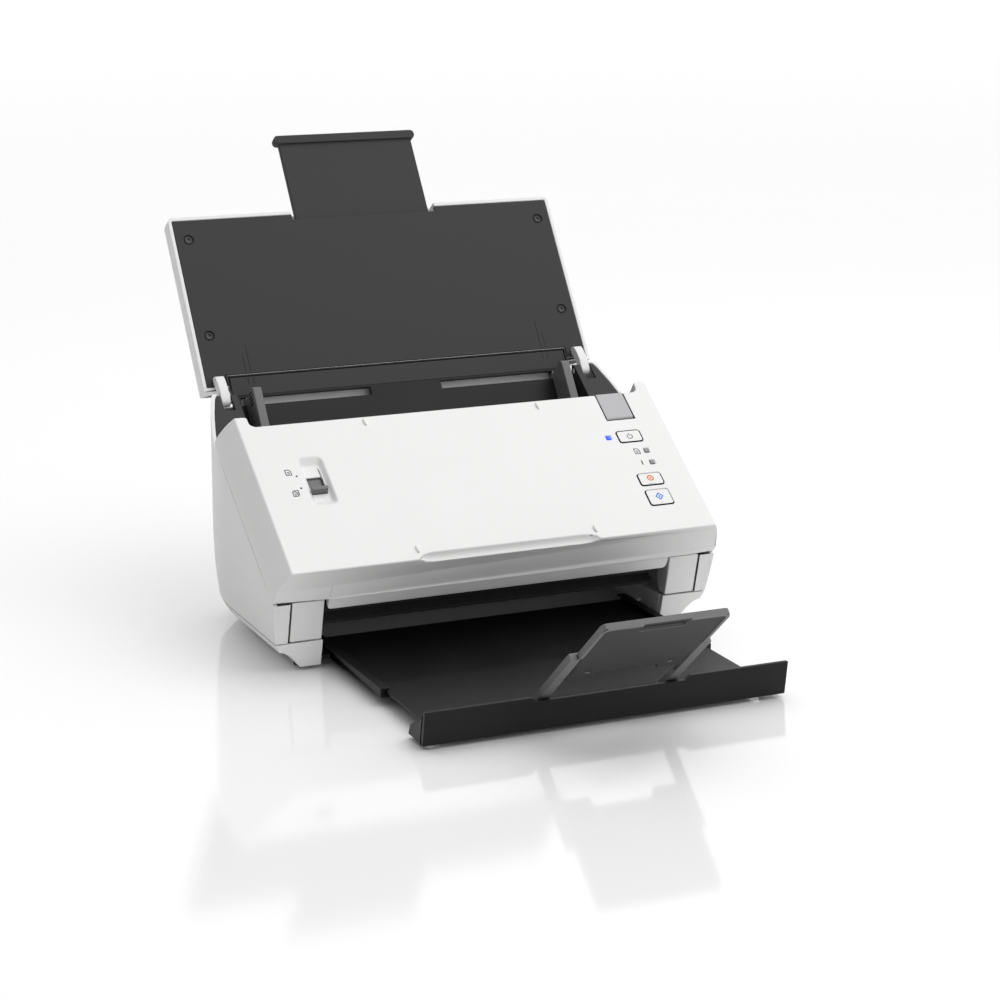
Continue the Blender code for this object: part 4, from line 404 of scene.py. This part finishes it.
def painted_shade_hole_wall(middle, way):
    """Whether a face of the cover is a wall of a hole for a button or for the lever; these walls are painted
    black as painted shade in the gaps.
    """
    return middle.z <= HOLE_TOP and any(
        left < middle.x < right and low < middle.y < high for (left, right), (low, high) in HOLES)


# The sides of the buttons and of the lever below their tops, painted black as painted shade in the gaps round
# them.
def painted_shade_cap_side(middle, way):
    return way.z < CAP_SIDE_TURN and middle.z < CAP_TOP


def on_shell_rim(middle, way):
    return middle.y < SHELL_RIM and abs(middle.x) < SHELL_RIM_HALF and way.y < SIDE_TURN


# Sideways faces at the rear of the stopper plate, painted grey as a painted highlight on its rims.
def plate_rim_highlight(middle, way):
    return abs(way.z) < SIDE_TURN and middle.y > PLATE_RIM


# Faces of the paper ramp below its nick, and those turned along the tray, painted black: painted shade deep
# in the throat, over the ramp's own dark plastic.
def below_nick(middle, way):
    return middle.y < RAMP_NICK or way.y > NICK_TURN


# Painted shade: the walls of the cover's holes and the sides of the buttons and the lever are painted black
# for the dark gaps round them.
paint("front_cover", BLACK, FACE, painted_shade_hole_wall)
for cap in CAPS:
    paint(cap, BLACK, FACE, painted_shade_cap_side)
paint("tray_shell", DARK, TRAY, on_shell_rim)
# Painted highlight: the rear rims of the dark stopper plate are painted grey.
paint("stopper_plate", GREY, STOPPER, plate_rim_highlight)
# Partly painted shade: the lower ramp is painted black where it lies deep in the throat.
paint("paper_ramp", BLACK, TRAY, below_nick)


# Tools for small pieces on top of the carried-over ones

MILLIMETRE = 0.001
SMOOTH_ANGLE = math.radians(35)
SEAT_FROM = 0.08
LEAST_MITRE = 0.4
BUMP_PROFILE = ((1.0, -0.2), (1.0, 0.3), (0.88, 0.75), (0.6, 1.0))
MARK_OUT = 0.00004
MARK_IN = -0.00025
FINE = 0.00058
SIDES = (-1, 1)
SIDE_NAMES = (("left", -1), ("right", 1))
SURFACES = {}


def added(name, shape, place, material, body):
    """Make a shape drawn in a frame into a piece that rides on a body."""
    mesh = bpy.data.meshes.new(name)
    shape.transform(place)
    bmesh.ops.recalc_face_normals(shape, faces=shape.faces)
    shape.to_mesh(mesh)
    shape.free()
    mesh.materials.append(material)
    thing = bpy.data.objects.new(name, mesh)
    bpy.context.collection.objects.link(thing)
    mesh.shade_smooth()
    mesh.set_sharp_from_angle(angle=SMOOTH_ANGLE)
    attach(thing, body)


def skin(shape, rings, ring=False):
    """A closed surface through rings of equal count, which ends in caps or goes round."""
    loops = [[shape.verts.new(point) for point in points] for points in rings]
    if ring:
        loops.append(loops[0])
    else:
        shape.faces.new(loops[0])
        shape.faces.new(loops[-1])
    for first, second in zip(loops, loops[1:]):
        for k in range(len(first)):
            after = (k + 1) % len(first)
            shape.faces.new((first[k], first[after], second[after], second[k]))


def slab(shape, points, low, high):
    """A plate with an even outline."""
    skin(shape, [[(x, y, z) for x, y in points] for z in (low, high)])


def oval(x, y, across, along=None, steps=24, start=0.0, end=math.tau):
    """Points round an oval, or along a part of it."""
    along = along or across
    whole = end - start == math.tau
    turns = [start + (end - start) * k / steps for k in range(steps if whole else steps + 1)]
    return [(x + across * math.cos(a), y + along * math.sin(a)) for a in turns]


def stroke(shape, points, wide, low, high, closed=False):
    """A line of even width with mitred corners."""
    points = [Vector(point) for point in points]
    left, right = [], []
    for k, here in enumerate(points):
        ways = []
        if closed or k > 0:
            ways.append((here - points[k - 1]).normalized())
        if closed or k < len(points) - 1:
            ways.append((points[(k + 1) % len(points)] - here).normalized())
        normals = [Vector((-way.y, way.x)) for way in ways]
        mitre = sum(normals, Vector((0, 0))).normalized()
        reach = wide / 2 / max(LEAST_MITRE, mitre.dot(normals[0]))
        left.append(here + reach * mitre)
        right.append(here - reach * mitre)
    if closed:
        walls = ((left, low), (left, high), (right, high), (right, low))
        skin(shape, [[(x, y, z) for x, y in edge] for edge, z in walls], True)
    else:
        slab(shape, left + right[::-1], low, high)


def bump(shape, x, y, z, across, along, height):
    """An oval bump with a soft shoulder."""
    rings = []
    for share, rise in BUMP_PROFILE:
        rings.append([(a, b, z + rise * height) for a, b in oval(x, y, across * share, along * share)])
    skin(shape, rings)


def hit(node, place, start, way):
    """Where a ray in a frame meets a node, in that frame."""
    if node not in SURFACES:
        mesh = frame["nodes"][node].data
        points = [vertex.co for vertex in mesh.vertices]
        SURFACES[node] = BVHTree.FromPolygons(points, [face.vertices for face in mesh.polygons])
    spot = SURFACES[node].ray_cast(place @ Vector(start), place.to_3x3() @ Vector(way))[0]
    return place.inverted() @ spot


def seat(node, place, x, y):
    """How high a node's surface is at a point of a frame."""
    return hit(node, place, (x, y, SEAT_FROM), (0, 0, -1)).z


def moved(points, x, y):
    """Points in millimetres, taken to a place in metres."""
    return [(x + MILLIMETRE * a, y + MILLIMETRE * b) for a, b in points]


def thin_line(shape, points, wide, level=0.0, closed=False):
    """A thin flat line on a surface at a level: printed marks, and also the painted shade of the stopper's
    slots and of the output tray's grooves.
    """
    stroke(shape, points, wide, level + MARK_IN, level + MARK_OUT, closed)


def blot(shape, points, level=0.0):
    """A printed patch on a surface at a level."""
    slab(shape, points, level + MARK_IN, level + MARK_OUT)


# Signs and bumps on the face: places across and along it in metres, sign outlines in millimetres

LEAF = ((-1.7, -2.1), (1.7, -2.1), (1.7, 0.9), (0.5, 2.1), (-1.7, 2.1))
LEAF_ROWS = (-0.9, 0.2)
LEAF_ROW_HALF = 0.8
LEAF_SIGN = (0.1120, 0.0661)
ALERT_SIGN = (0.1118, 0.0563)
ALERT_LINE = ((0, -1.7), (0, 2.0))
ALERT_WIDTH = 0.0009
SINGLE_SIGN = (-0.1202, 0.0773)
STACK_SIGN = (-0.1206, 0.0601)
STACK_SIZE = 0.85
STACK_BACK = ((-1.0, 2.6), (2.3, 2.6), (2.3, -1.2))
DOTS_X = -0.1158
DOTS_ALONG = (0.0738, 0.0642)
DOT_RADIUS = 0.0007
FACE_BUMP_X = 0.0592
FACE_BUMP_ALONG = (0.008, 0.112)
FACE_BUMP_ACROSS = 0.00125
FACE_BUMP_LENGTH = 0.0029
FACE_BUMP_HEIGHT = 0.0012


def sheet(shape, x, y, size=1.0):
    """A leaf with a folded corner and two lines on it."""
    thin_line(shape, moved([(size * a, size * b) for a, b in LEAF], x, y), FINE, closed=True)
    for row in LEAF_ROWS:
        line = [(-LEAF_ROW_HALF * size, row * size), (LEAF_ROW_HALF * size, row * size)]
        thin_line(shape, moved(line, x, y), FINE)


def face_marks():
    marks = bmesh.new()
    sheet(marks, *LEAF_SIGN)
    thin_line(marks, moved(ALERT_LINE, *ALERT_SIGN), ALERT_WIDTH)
    sheet(marks, *SINGLE_SIGN)
    sheet(marks, *STACK_SIGN, STACK_SIZE)
    thin_line(marks, moved(STACK_BACK, *STACK_SIGN), FINE)
    for s in DOTS_ALONG:
        blot(marks, oval(DOTS_X, s, DOT_RADIUS))
    added("face_marks", marks, FACE, INK, "cover")


def face_bumps():
    for index, (side, s) in enumerate((side, s) for side in SIDES for s in FACE_BUMP_ALONG):
        rise = bmesh.new()
        bump(rise, side * FACE_BUMP_X, s, 0.0, FACE_BUMP_ACROSS, FACE_BUMP_LENGTH, FACE_BUMP_HEIGHT)
        added(f"face_bump_{index}", rise, FACE, WHITE, "cover")


# Front ends of the side panels: x and z of their outline, and how the front leans back from the box

PANEL_END = ((0.1373, 0.0198), (0.1449, 0.0198), (0.14595, 0.02768), (0.1471, 0.0398), (0.1473, 0.0453),
             (0.1373, 0.0453))
# Outline of a black strip beside each hinge block: painted shade in the gap there.
PANEL_GAP_SHADE = ((0.1364, 0.0198), (0.1376, 0.0198), (0.1376, 0.0446), (0.1364, 0.0446))
PANEL_FRONT = 0.00618
PANEL_LEAN = 0.2455
PANEL_BACK = 0.0004
END_OUT = -0.00004
GAP_SHADE_OUT = 0.00006


def panel_piece(part, name, side, points, front, material):
    """A thin plate on the leaning front of a side panel."""
    (_, near, low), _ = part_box(f"side_panel_{name}")
    shape = bmesh.new()
    rings = []
    for back in (front, PANEL_BACK):
        rings.append([(side * x, near + PANEL_FRONT - (z - low) * PANEL_LEAN + back, z) for x, z in points])
    skin(shape, rings)
    added(f"panel_{part}_{name}", shape, GROUND, material, "base")


def panel_ends():
    """The front ends of the side panels, with a black strip beside the hinge blocks that is painted shade in
    the gap there.
    """
    for name, side in SIDE_NAMES:
        panel_piece("end", name, side, PANEL_END, END_OUT, WHITE)
        # The black strip is painted shade in the gap beside the hinge block.
        panel_piece("joint", name, side, PANEL_GAP_SHADE, GAP_SHADE_OUT, BLACK)


# Signs on the buttons: places along the face in metres, outlines in millimetres

CONTROLS_X = 0.1119
POWER_AT = 0.0791
POWER_RING = 0.0018
POWER_RING_DOWN = 0.0002
POWER_RING_STEPS = 28
POWER_RING_TURNS = (math.radians(125), math.radians(415))
POWER_LINE = ((0, 0.3), (0, 2.3))
STOP_AT = 0.0431
STOP_RING = 0.0019
STOP_RING_WIDTH = 0.0009
STOP_CORE = ((-0.95, 0), (0, -0.95), (0.95, 0), (0, 0.95))
STOP_RIDGE = ((-2.3, -4.3), (2.3, -4.3))
STOP_RIDGE_WIDTH = 0.0006
STOP_RIDGE_RISE = 0.0003
START_AT = 0.0277
START_DIAMOND = ((-2.3, 0), (0, -2.5), (2.3, 0), (0, 2.5))
START_DIAMOND_WIDTH = 0.0008
START_LINE = ((0, -0.9), (0, 0.9))
START_LINE_WIDTH = 0.0009
START_DOT_DOWN = 0.0048
START_DOT_RADIUS = 0.0005
START_DOT_HEIGHT = 0.0004


def power_sign():
    level = seat("power_button", FACE, CONTROLS_X, POWER_AT)
    marks = bmesh.new()
    ring = oval(CONTROLS_X, POWER_AT - POWER_RING_DOWN, POWER_RING, None, POWER_RING_STEPS, *POWER_RING_TURNS)
    thin_line(marks, ring, FINE, level)
    thin_line(marks, moved(POWER_LINE, CONTROLS_X, POWER_AT), FINE, level)
    added("power_mark", marks, FACE, INK, "power")


def stop_sign():
    level = seat("stop_button", FACE, CONTROLS_X, STOP_AT)
    marks = bmesh.new()
    thin_line(marks, oval(CONTROLS_X, STOP_AT, STOP_RING), STOP_RING_WIDTH, level, True)
    blot(marks, moved(STOP_CORE, CONTROLS_X, STOP_AT), level)
    added("stop_mark", marks, FACE, RED_INK, "stop")
    rise = bmesh.new()
    ridge = moved(STOP_RIDGE, CONTROLS_X, STOP_AT)
    stroke(rise, ridge, STOP_RIDGE_WIDTH, level + MARK_IN, level + STOP_RIDGE_RISE)
    added("stop_ridge", rise, FACE, WHITE, "stop")


def start_sign():
    level = seat("start_button", FACE, CONTROLS_X, START_AT)
    marks = bmesh.new()
    thin_line(marks, moved(START_DIAMOND, CONTROLS_X, START_AT), START_DIAMOND_WIDTH, level, True)
    thin_line(marks, moved(START_LINE, CONTROLS_X, START_AT), START_LINE_WIDTH, level)
    added("start_mark", marks, FACE, BLUE_INK, "start")
    rise = bmesh.new()
    dot_at = START_AT - START_DOT_DOWN
    bump(rise, CONTROLS_X, dot_at, level, START_DOT_RADIUS, START_DOT_RADIUS, START_DOT_HEIGHT)
    added("start_dot", rise, FACE, WHITE, "start")


# Lines and screws of the input tray, and ridges of its edge guides

LINE_WIDTH = 0.0006
TRAY_LINES = ((0.1033, 0.0113, 0.0309), (0.1065, 0.0113, 0.0226))
RAMP_LINES_X = (0.1026, 0.1063)
RAMP_LINE = (0.0026, 0.0075)
RAMP_SEAT = 0.005
SCREW_X = 0.1257
SCREW_ALONG = (0.0388, 0.1079)
SCREW_PROFILE = ((0.0026, -0.0002), (0.0026, 0.0004), (0.0022, 0.0008), (0.0014, 0.0008))
SOCKET_RADIUS = 0.0013
SOCKET_LEVELS = (0.0007, 0.0001)
SOCKET_SIDES = 6
SOCKET_PARTS = 4
RIDGE_COUNT = 4
RIDGE_FIRST = -0.0090
RIDGE_STEP = 0.0024
RIDGE_ENDS = (0.0090, 0.0155)
RIDGE_PROFILE = ((-0.0002, -0.0006), (0.0004, -0.0004), (0.0004, 0.0004), (-0.0002, 0.0006))
RIDGE_FROM = 0.2


def tray_lines():
    lines = bmesh.new()
    for x, low, high in TRAY_LINES:
        for side in SIDES:
            level = seat("tray_face", TRAY, side * x, low)
            thin_line(lines, [(side * x, low), (side * x, high)], LINE_WIDTH, level)
    added("tray_lines", lines, TRAY, BLACK, "input_tray")


def ramp_lines():
    lines = bmesh.new()
    for x in RAMP_LINES_X:
        for side in SIDES:
            level = seat("paper_ramp", TRAY, side * x, RAMP_SEAT)
            thin_line(lines, [(side * x, u) for u in RAMP_LINE], LINE_WIDTH, level)
    added("ramp_lines", lines, TRAY, BLACK, "base")


def hexagon(x, y, radius):
    """Points round a hexagon, several on each side."""
    step = math.tau / SOCKET_SIDES
    corners = [Vector((math.cos(k * step), math.sin(k * step))) for k in range(SOCKET_SIDES + 1)]
    points = []
    for first, last in zip(corners, corners[1:]):
        points += [first.lerp(last, j / SOCKET_PARTS) for j in range(SOCKET_PARTS)]
    return [(x + radius * p.x, y + radius * p.y) for p in points]


def tray_screws():
    for index, (side, u) in enumerate((side, u) for side in SIDES for u in SCREW_ALONG):
        x = side * SCREW_X
        level = seat("tray_face", TRAY, x, u)
        rings = []
        for radius, rise in SCREW_PROFILE:
            rings.append([(a, b, level + rise) for a, b in oval(x, u, radius)])
        for rise in SOCKET_LEVELS:
            rings.append([(a, b, level + rise) for a, b in hexagon(x, u, SOCKET_RADIUS)])
        head = bmesh.new()
        skin(head, rings)
        added(f"tray_screw_{index}", head, TRAY, SCREW, "input_tray")


def guide_ridges():
    for name, side in SIDE_NAMES:
        ridges = bmesh.new()
        for k in range(RIDGE_COUNT):
            u = RIDGE_FIRST - RIDGE_STEP * k
            rings = []
            for w in RIDGE_ENDS:
                end = hit(f"edge_guide_{name}", TRAY, (side * RIDGE_FROM, u, w), (-side, 0, 0))
                rings.append([(end.x + side * out, u + along, end.z) for out, along in RIDGE_PROFILE])
            skin(ridges, rings)
        added(f"guide_ridges_{name}", ridges, TRAY, DARK, f"guide_{name}")


# Detail of the stopper, with painted shade in its slots and a painted highlight on its rims, and painted
# shade in the grooves of the output tray

SLOT_X = 0.0350
SLOT_SEAT = 0.049
SLOT_ENDS = (0.0430, 0.0552)
SLOT_WIDTH = 0.0017
NOTCH_IN = 0.0095
NOTCH_HALF = 0.0016
NOTCH_AT = 0.0470
NOTCH_WIDTH = 0.0020
RIM_SEAT = (0.02, 0.080)
RIM_PATH = ((0.0377, 0.0675), (0.0377, 0.1013), (0.0352, 0.1040), (0.0143, 0.1040))
RIM_WIDTH = 0.0020
RIM_IN = 0.0009
RIM_OUT = 0.0004
NIB_X = 0.0255
NIB_SEAT = 0.045
NIB_AT = 0.0456
NIB_ACROSS = 0.0017
NIB_LENGTH = 0.0006
NIB_HEIGHT = 0.0006
STAGE_LINES_X = (0.0, -0.0980, 0.0980, -0.1010, 0.1010)
STAGE_LINE_FRONT = 0.0230
STAGE_LINE_REAR = 0.004
STAGE_LINE_WIDTH = 0.0008


# Black strips on the stopper plate for its slots and notches: painted shade where the openings look dark.
def stopper_slot_shade():
    slot_shade = bmesh.new()
    for side in SIDES:
        x = side * SLOT_X
        level = seat("stopper_plate", STOPPER, x, SLOT_SEAT)
        thin_line(slot_shade, [(x, e) for e in SLOT_ENDS], SLOT_WIDTH, level)
        notch = [(x + half - side * NOTCH_IN, NOTCH_AT) for half in (-NOTCH_HALF, NOTCH_HALF)]
        thin_line(slot_shade, notch, NOTCH_WIDTH, level)
    added("stopper_slot_shade", slot_shade, STOPPER, BLACK, "stopper_slider")


# A raised strip along the stopper plate's rear rims, its grey a painted highlight on those edges.
def stopper_rim_highlight():
    rim = bmesh.new()
    for side in SIDES:
        level = seat("stopper_plate", STOPPER, side * RIM_SEAT[0], RIM_SEAT[1])
        stroke(rim, [(side * x, e) for x, e in RIM_PATH], RIM_WIDTH, level - RIM_IN, level + RIM_OUT)
    added("stopper_rim_highlight", rim, STOPPER, GREY, "stopper_slider")


def stopper_nibs():
    nibs = bmesh.new()
    for side in SIDES:
        x = side * NIB_X
        level = seat("stopper_plate", STOPPER, x, NIB_SEAT)
        bump(nibs, x, NIB_AT, level, NIB_ACROSS, NIB_LENGTH, NIB_HEIGHT)
    added("stopper_nibs", nibs, STOPPER, GREY, "stopper_slider")


# Black lines along the output tray's floor: painted shade in its grooves.
def stage_groove_shade():
    (_, near, _), (_, far, _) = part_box("output_extension")
    start = near + STAGE_LINE_FRONT
    end = far - STAGE_LINE_REAR
    lines = bmesh.new()
    for x in STAGE_LINES_X:
        level = seat("output_extension", GROUND, x, start)
        thin_line(lines, [(x, start), (x, end)], STAGE_LINE_WIDTH, level)
    added("stage_groove_shade", lines, GROUND, BLACK, "output_second")


face_marks()
face_bumps()
panel_ends()
power_sign()
stop_sign()
start_sign()
tray_lines()
ramp_lines()
tray_screws()
guide_ridges()
stopper_slot_shade()
stopper_rim_highlight()
stopper_nibs()
stage_groove_shade()


# Floor, light and camera

FLOOR_HALF = 6.0
SKY_TOWARD = (0.70, 0.55, 0.36)
SKY_RANGE = (-0.60, 0.35)
SKY_STRENGTH = (0.14, 1.12)
CAMERA_PLACE = (-0.6192, -1.3608 + SHIFT_Y, 0.4825)
CAMERA_YAW = math.radians(23.81)
CAMERA_PITCH = math.radians(13.42)
CAMERA_ROLL = math.radians(0.14)
SENSOR = 36
FOCAL_LENGTH = 91.516
FRAME_SHIFT = (0.0261, -0.0494)


def floor():
    """A pale, slightly glossy floor."""
    shape = bmesh.new()
    corners = [(x * FLOOR_HALF, y * FLOOR_HALF, 0) for x, y in ((-1, -1), (1, -1), (1, 1), (-1, 1))]
    shape.faces.new([shape.verts.new(corner) for corner in corners])
    mesh = bpy.data.meshes.new("floor")
    shape.to_mesh(mesh)
    shape.free()
    thing = bpy.data.objects.new("floor", mesh)
    bpy.context.collection.objects.link(thing)
    pale = moulded("floor", (0.909, 0.909, 0.909), (0.911, 0.911, 0.911), rough=0.09,
                   grain=40, strength=0.0, depth=0.0, specular=0.65, sway=0.004)
    thing.data.materials.append(pale)


def sky():
    """White behind and above the object, dimmer towards the viewer and the left."""
    world = bpy.data.worlds.new("studio")
    bpy.context.scene.world = world
    world.use_nodes = True
    nodes = world.node_tree.nodes
    links = world.node_tree.links
    coordinates = nodes.new("ShaderNodeTexCoord")
    toward = nodes.new("ShaderNodeVectorMath")
    toward.operation = "DOT_PRODUCT"
    toward.inputs[1].default_value = SKY_TOWARD
    links.new(coordinates.outputs["Generated"], toward.inputs[0])
    depth = nodes.new("ShaderNodeMapRange")
    depth.inputs["From Min"].default_value, depth.inputs["From Max"].default_value = SKY_RANGE
    depth.inputs["To Min"].default_value, depth.inputs["To Max"].default_value = SKY_STRENGTH
    links.new(toward.outputs["Value"], depth.inputs["Value"])
    links.new(depth.outputs["Result"], nodes["Background"].inputs["Strength"])
    nodes["Background"].inputs["Color"].default_value = (1, 1, 1, 1)


def lamp(name, place, aim, size, power):
    """A rectangular lamp turned towards a point."""
    light = bpy.data.lights.new(name, "AREA")
    light.shape = "RECTANGLE"
    light.size, light.size_y = size
    light.energy = power
    thing = bpy.data.objects.new(name, light)
    bpy.context.collection.objects.link(thing)
    thing.location = place
    thing.rotation_euler = (Vector(aim) - Vector(place)).to_track_quat("-Z", "Y").to_euler()


def camera():
    """The camera at the photograph's angle."""
    reach = math.cos(CAMERA_PITCH)
    ahead = Vector((math.sin(CAMERA_YAW) * reach, math.cos(CAMERA_YAW) * reach, -math.sin(CAMERA_PITCH)))
    right = Vector((math.cos(CAMERA_YAW), -math.sin(CAMERA_YAW), 0))
    up = right.cross(ahead)
    rolled_right = right * math.cos(CAMERA_ROLL) + up * math.sin(CAMERA_ROLL)
    rolled_up = up * math.cos(CAMERA_ROLL) - right * math.sin(CAMERA_ROLL)
    view = bpy.data.cameras.new("camera")
    view.sensor_width = SENSOR
    view.lens = FOCAL_LENGTH
    view.shift_x, view.shift_y = FRAME_SHIFT
    thing = bpy.data.objects.new("camera", view)
    bpy.context.collection.objects.link(thing)
    turn = Matrix((rolled_right, rolled_up, -ahead)).transposed().to_4x4()
    thing.matrix_world = Matrix.Translation(CAMERA_PLACE) @ turn
    bpy.context.scene.camera = thing


floor()
sky()
lamp("top", place=(0.55, -0.25, 1.5), aim=(0, 0.05, 0.1), size=(1.5, 1.3), power=8.2)
lamp("fill", place=(-0.1, -1.9, 0.35), aim=(0, 0, 0.05), size=(1.8, 0.7), power=5)
camera()
bpy.context.scene.view_settings.view_transform = "Standard"
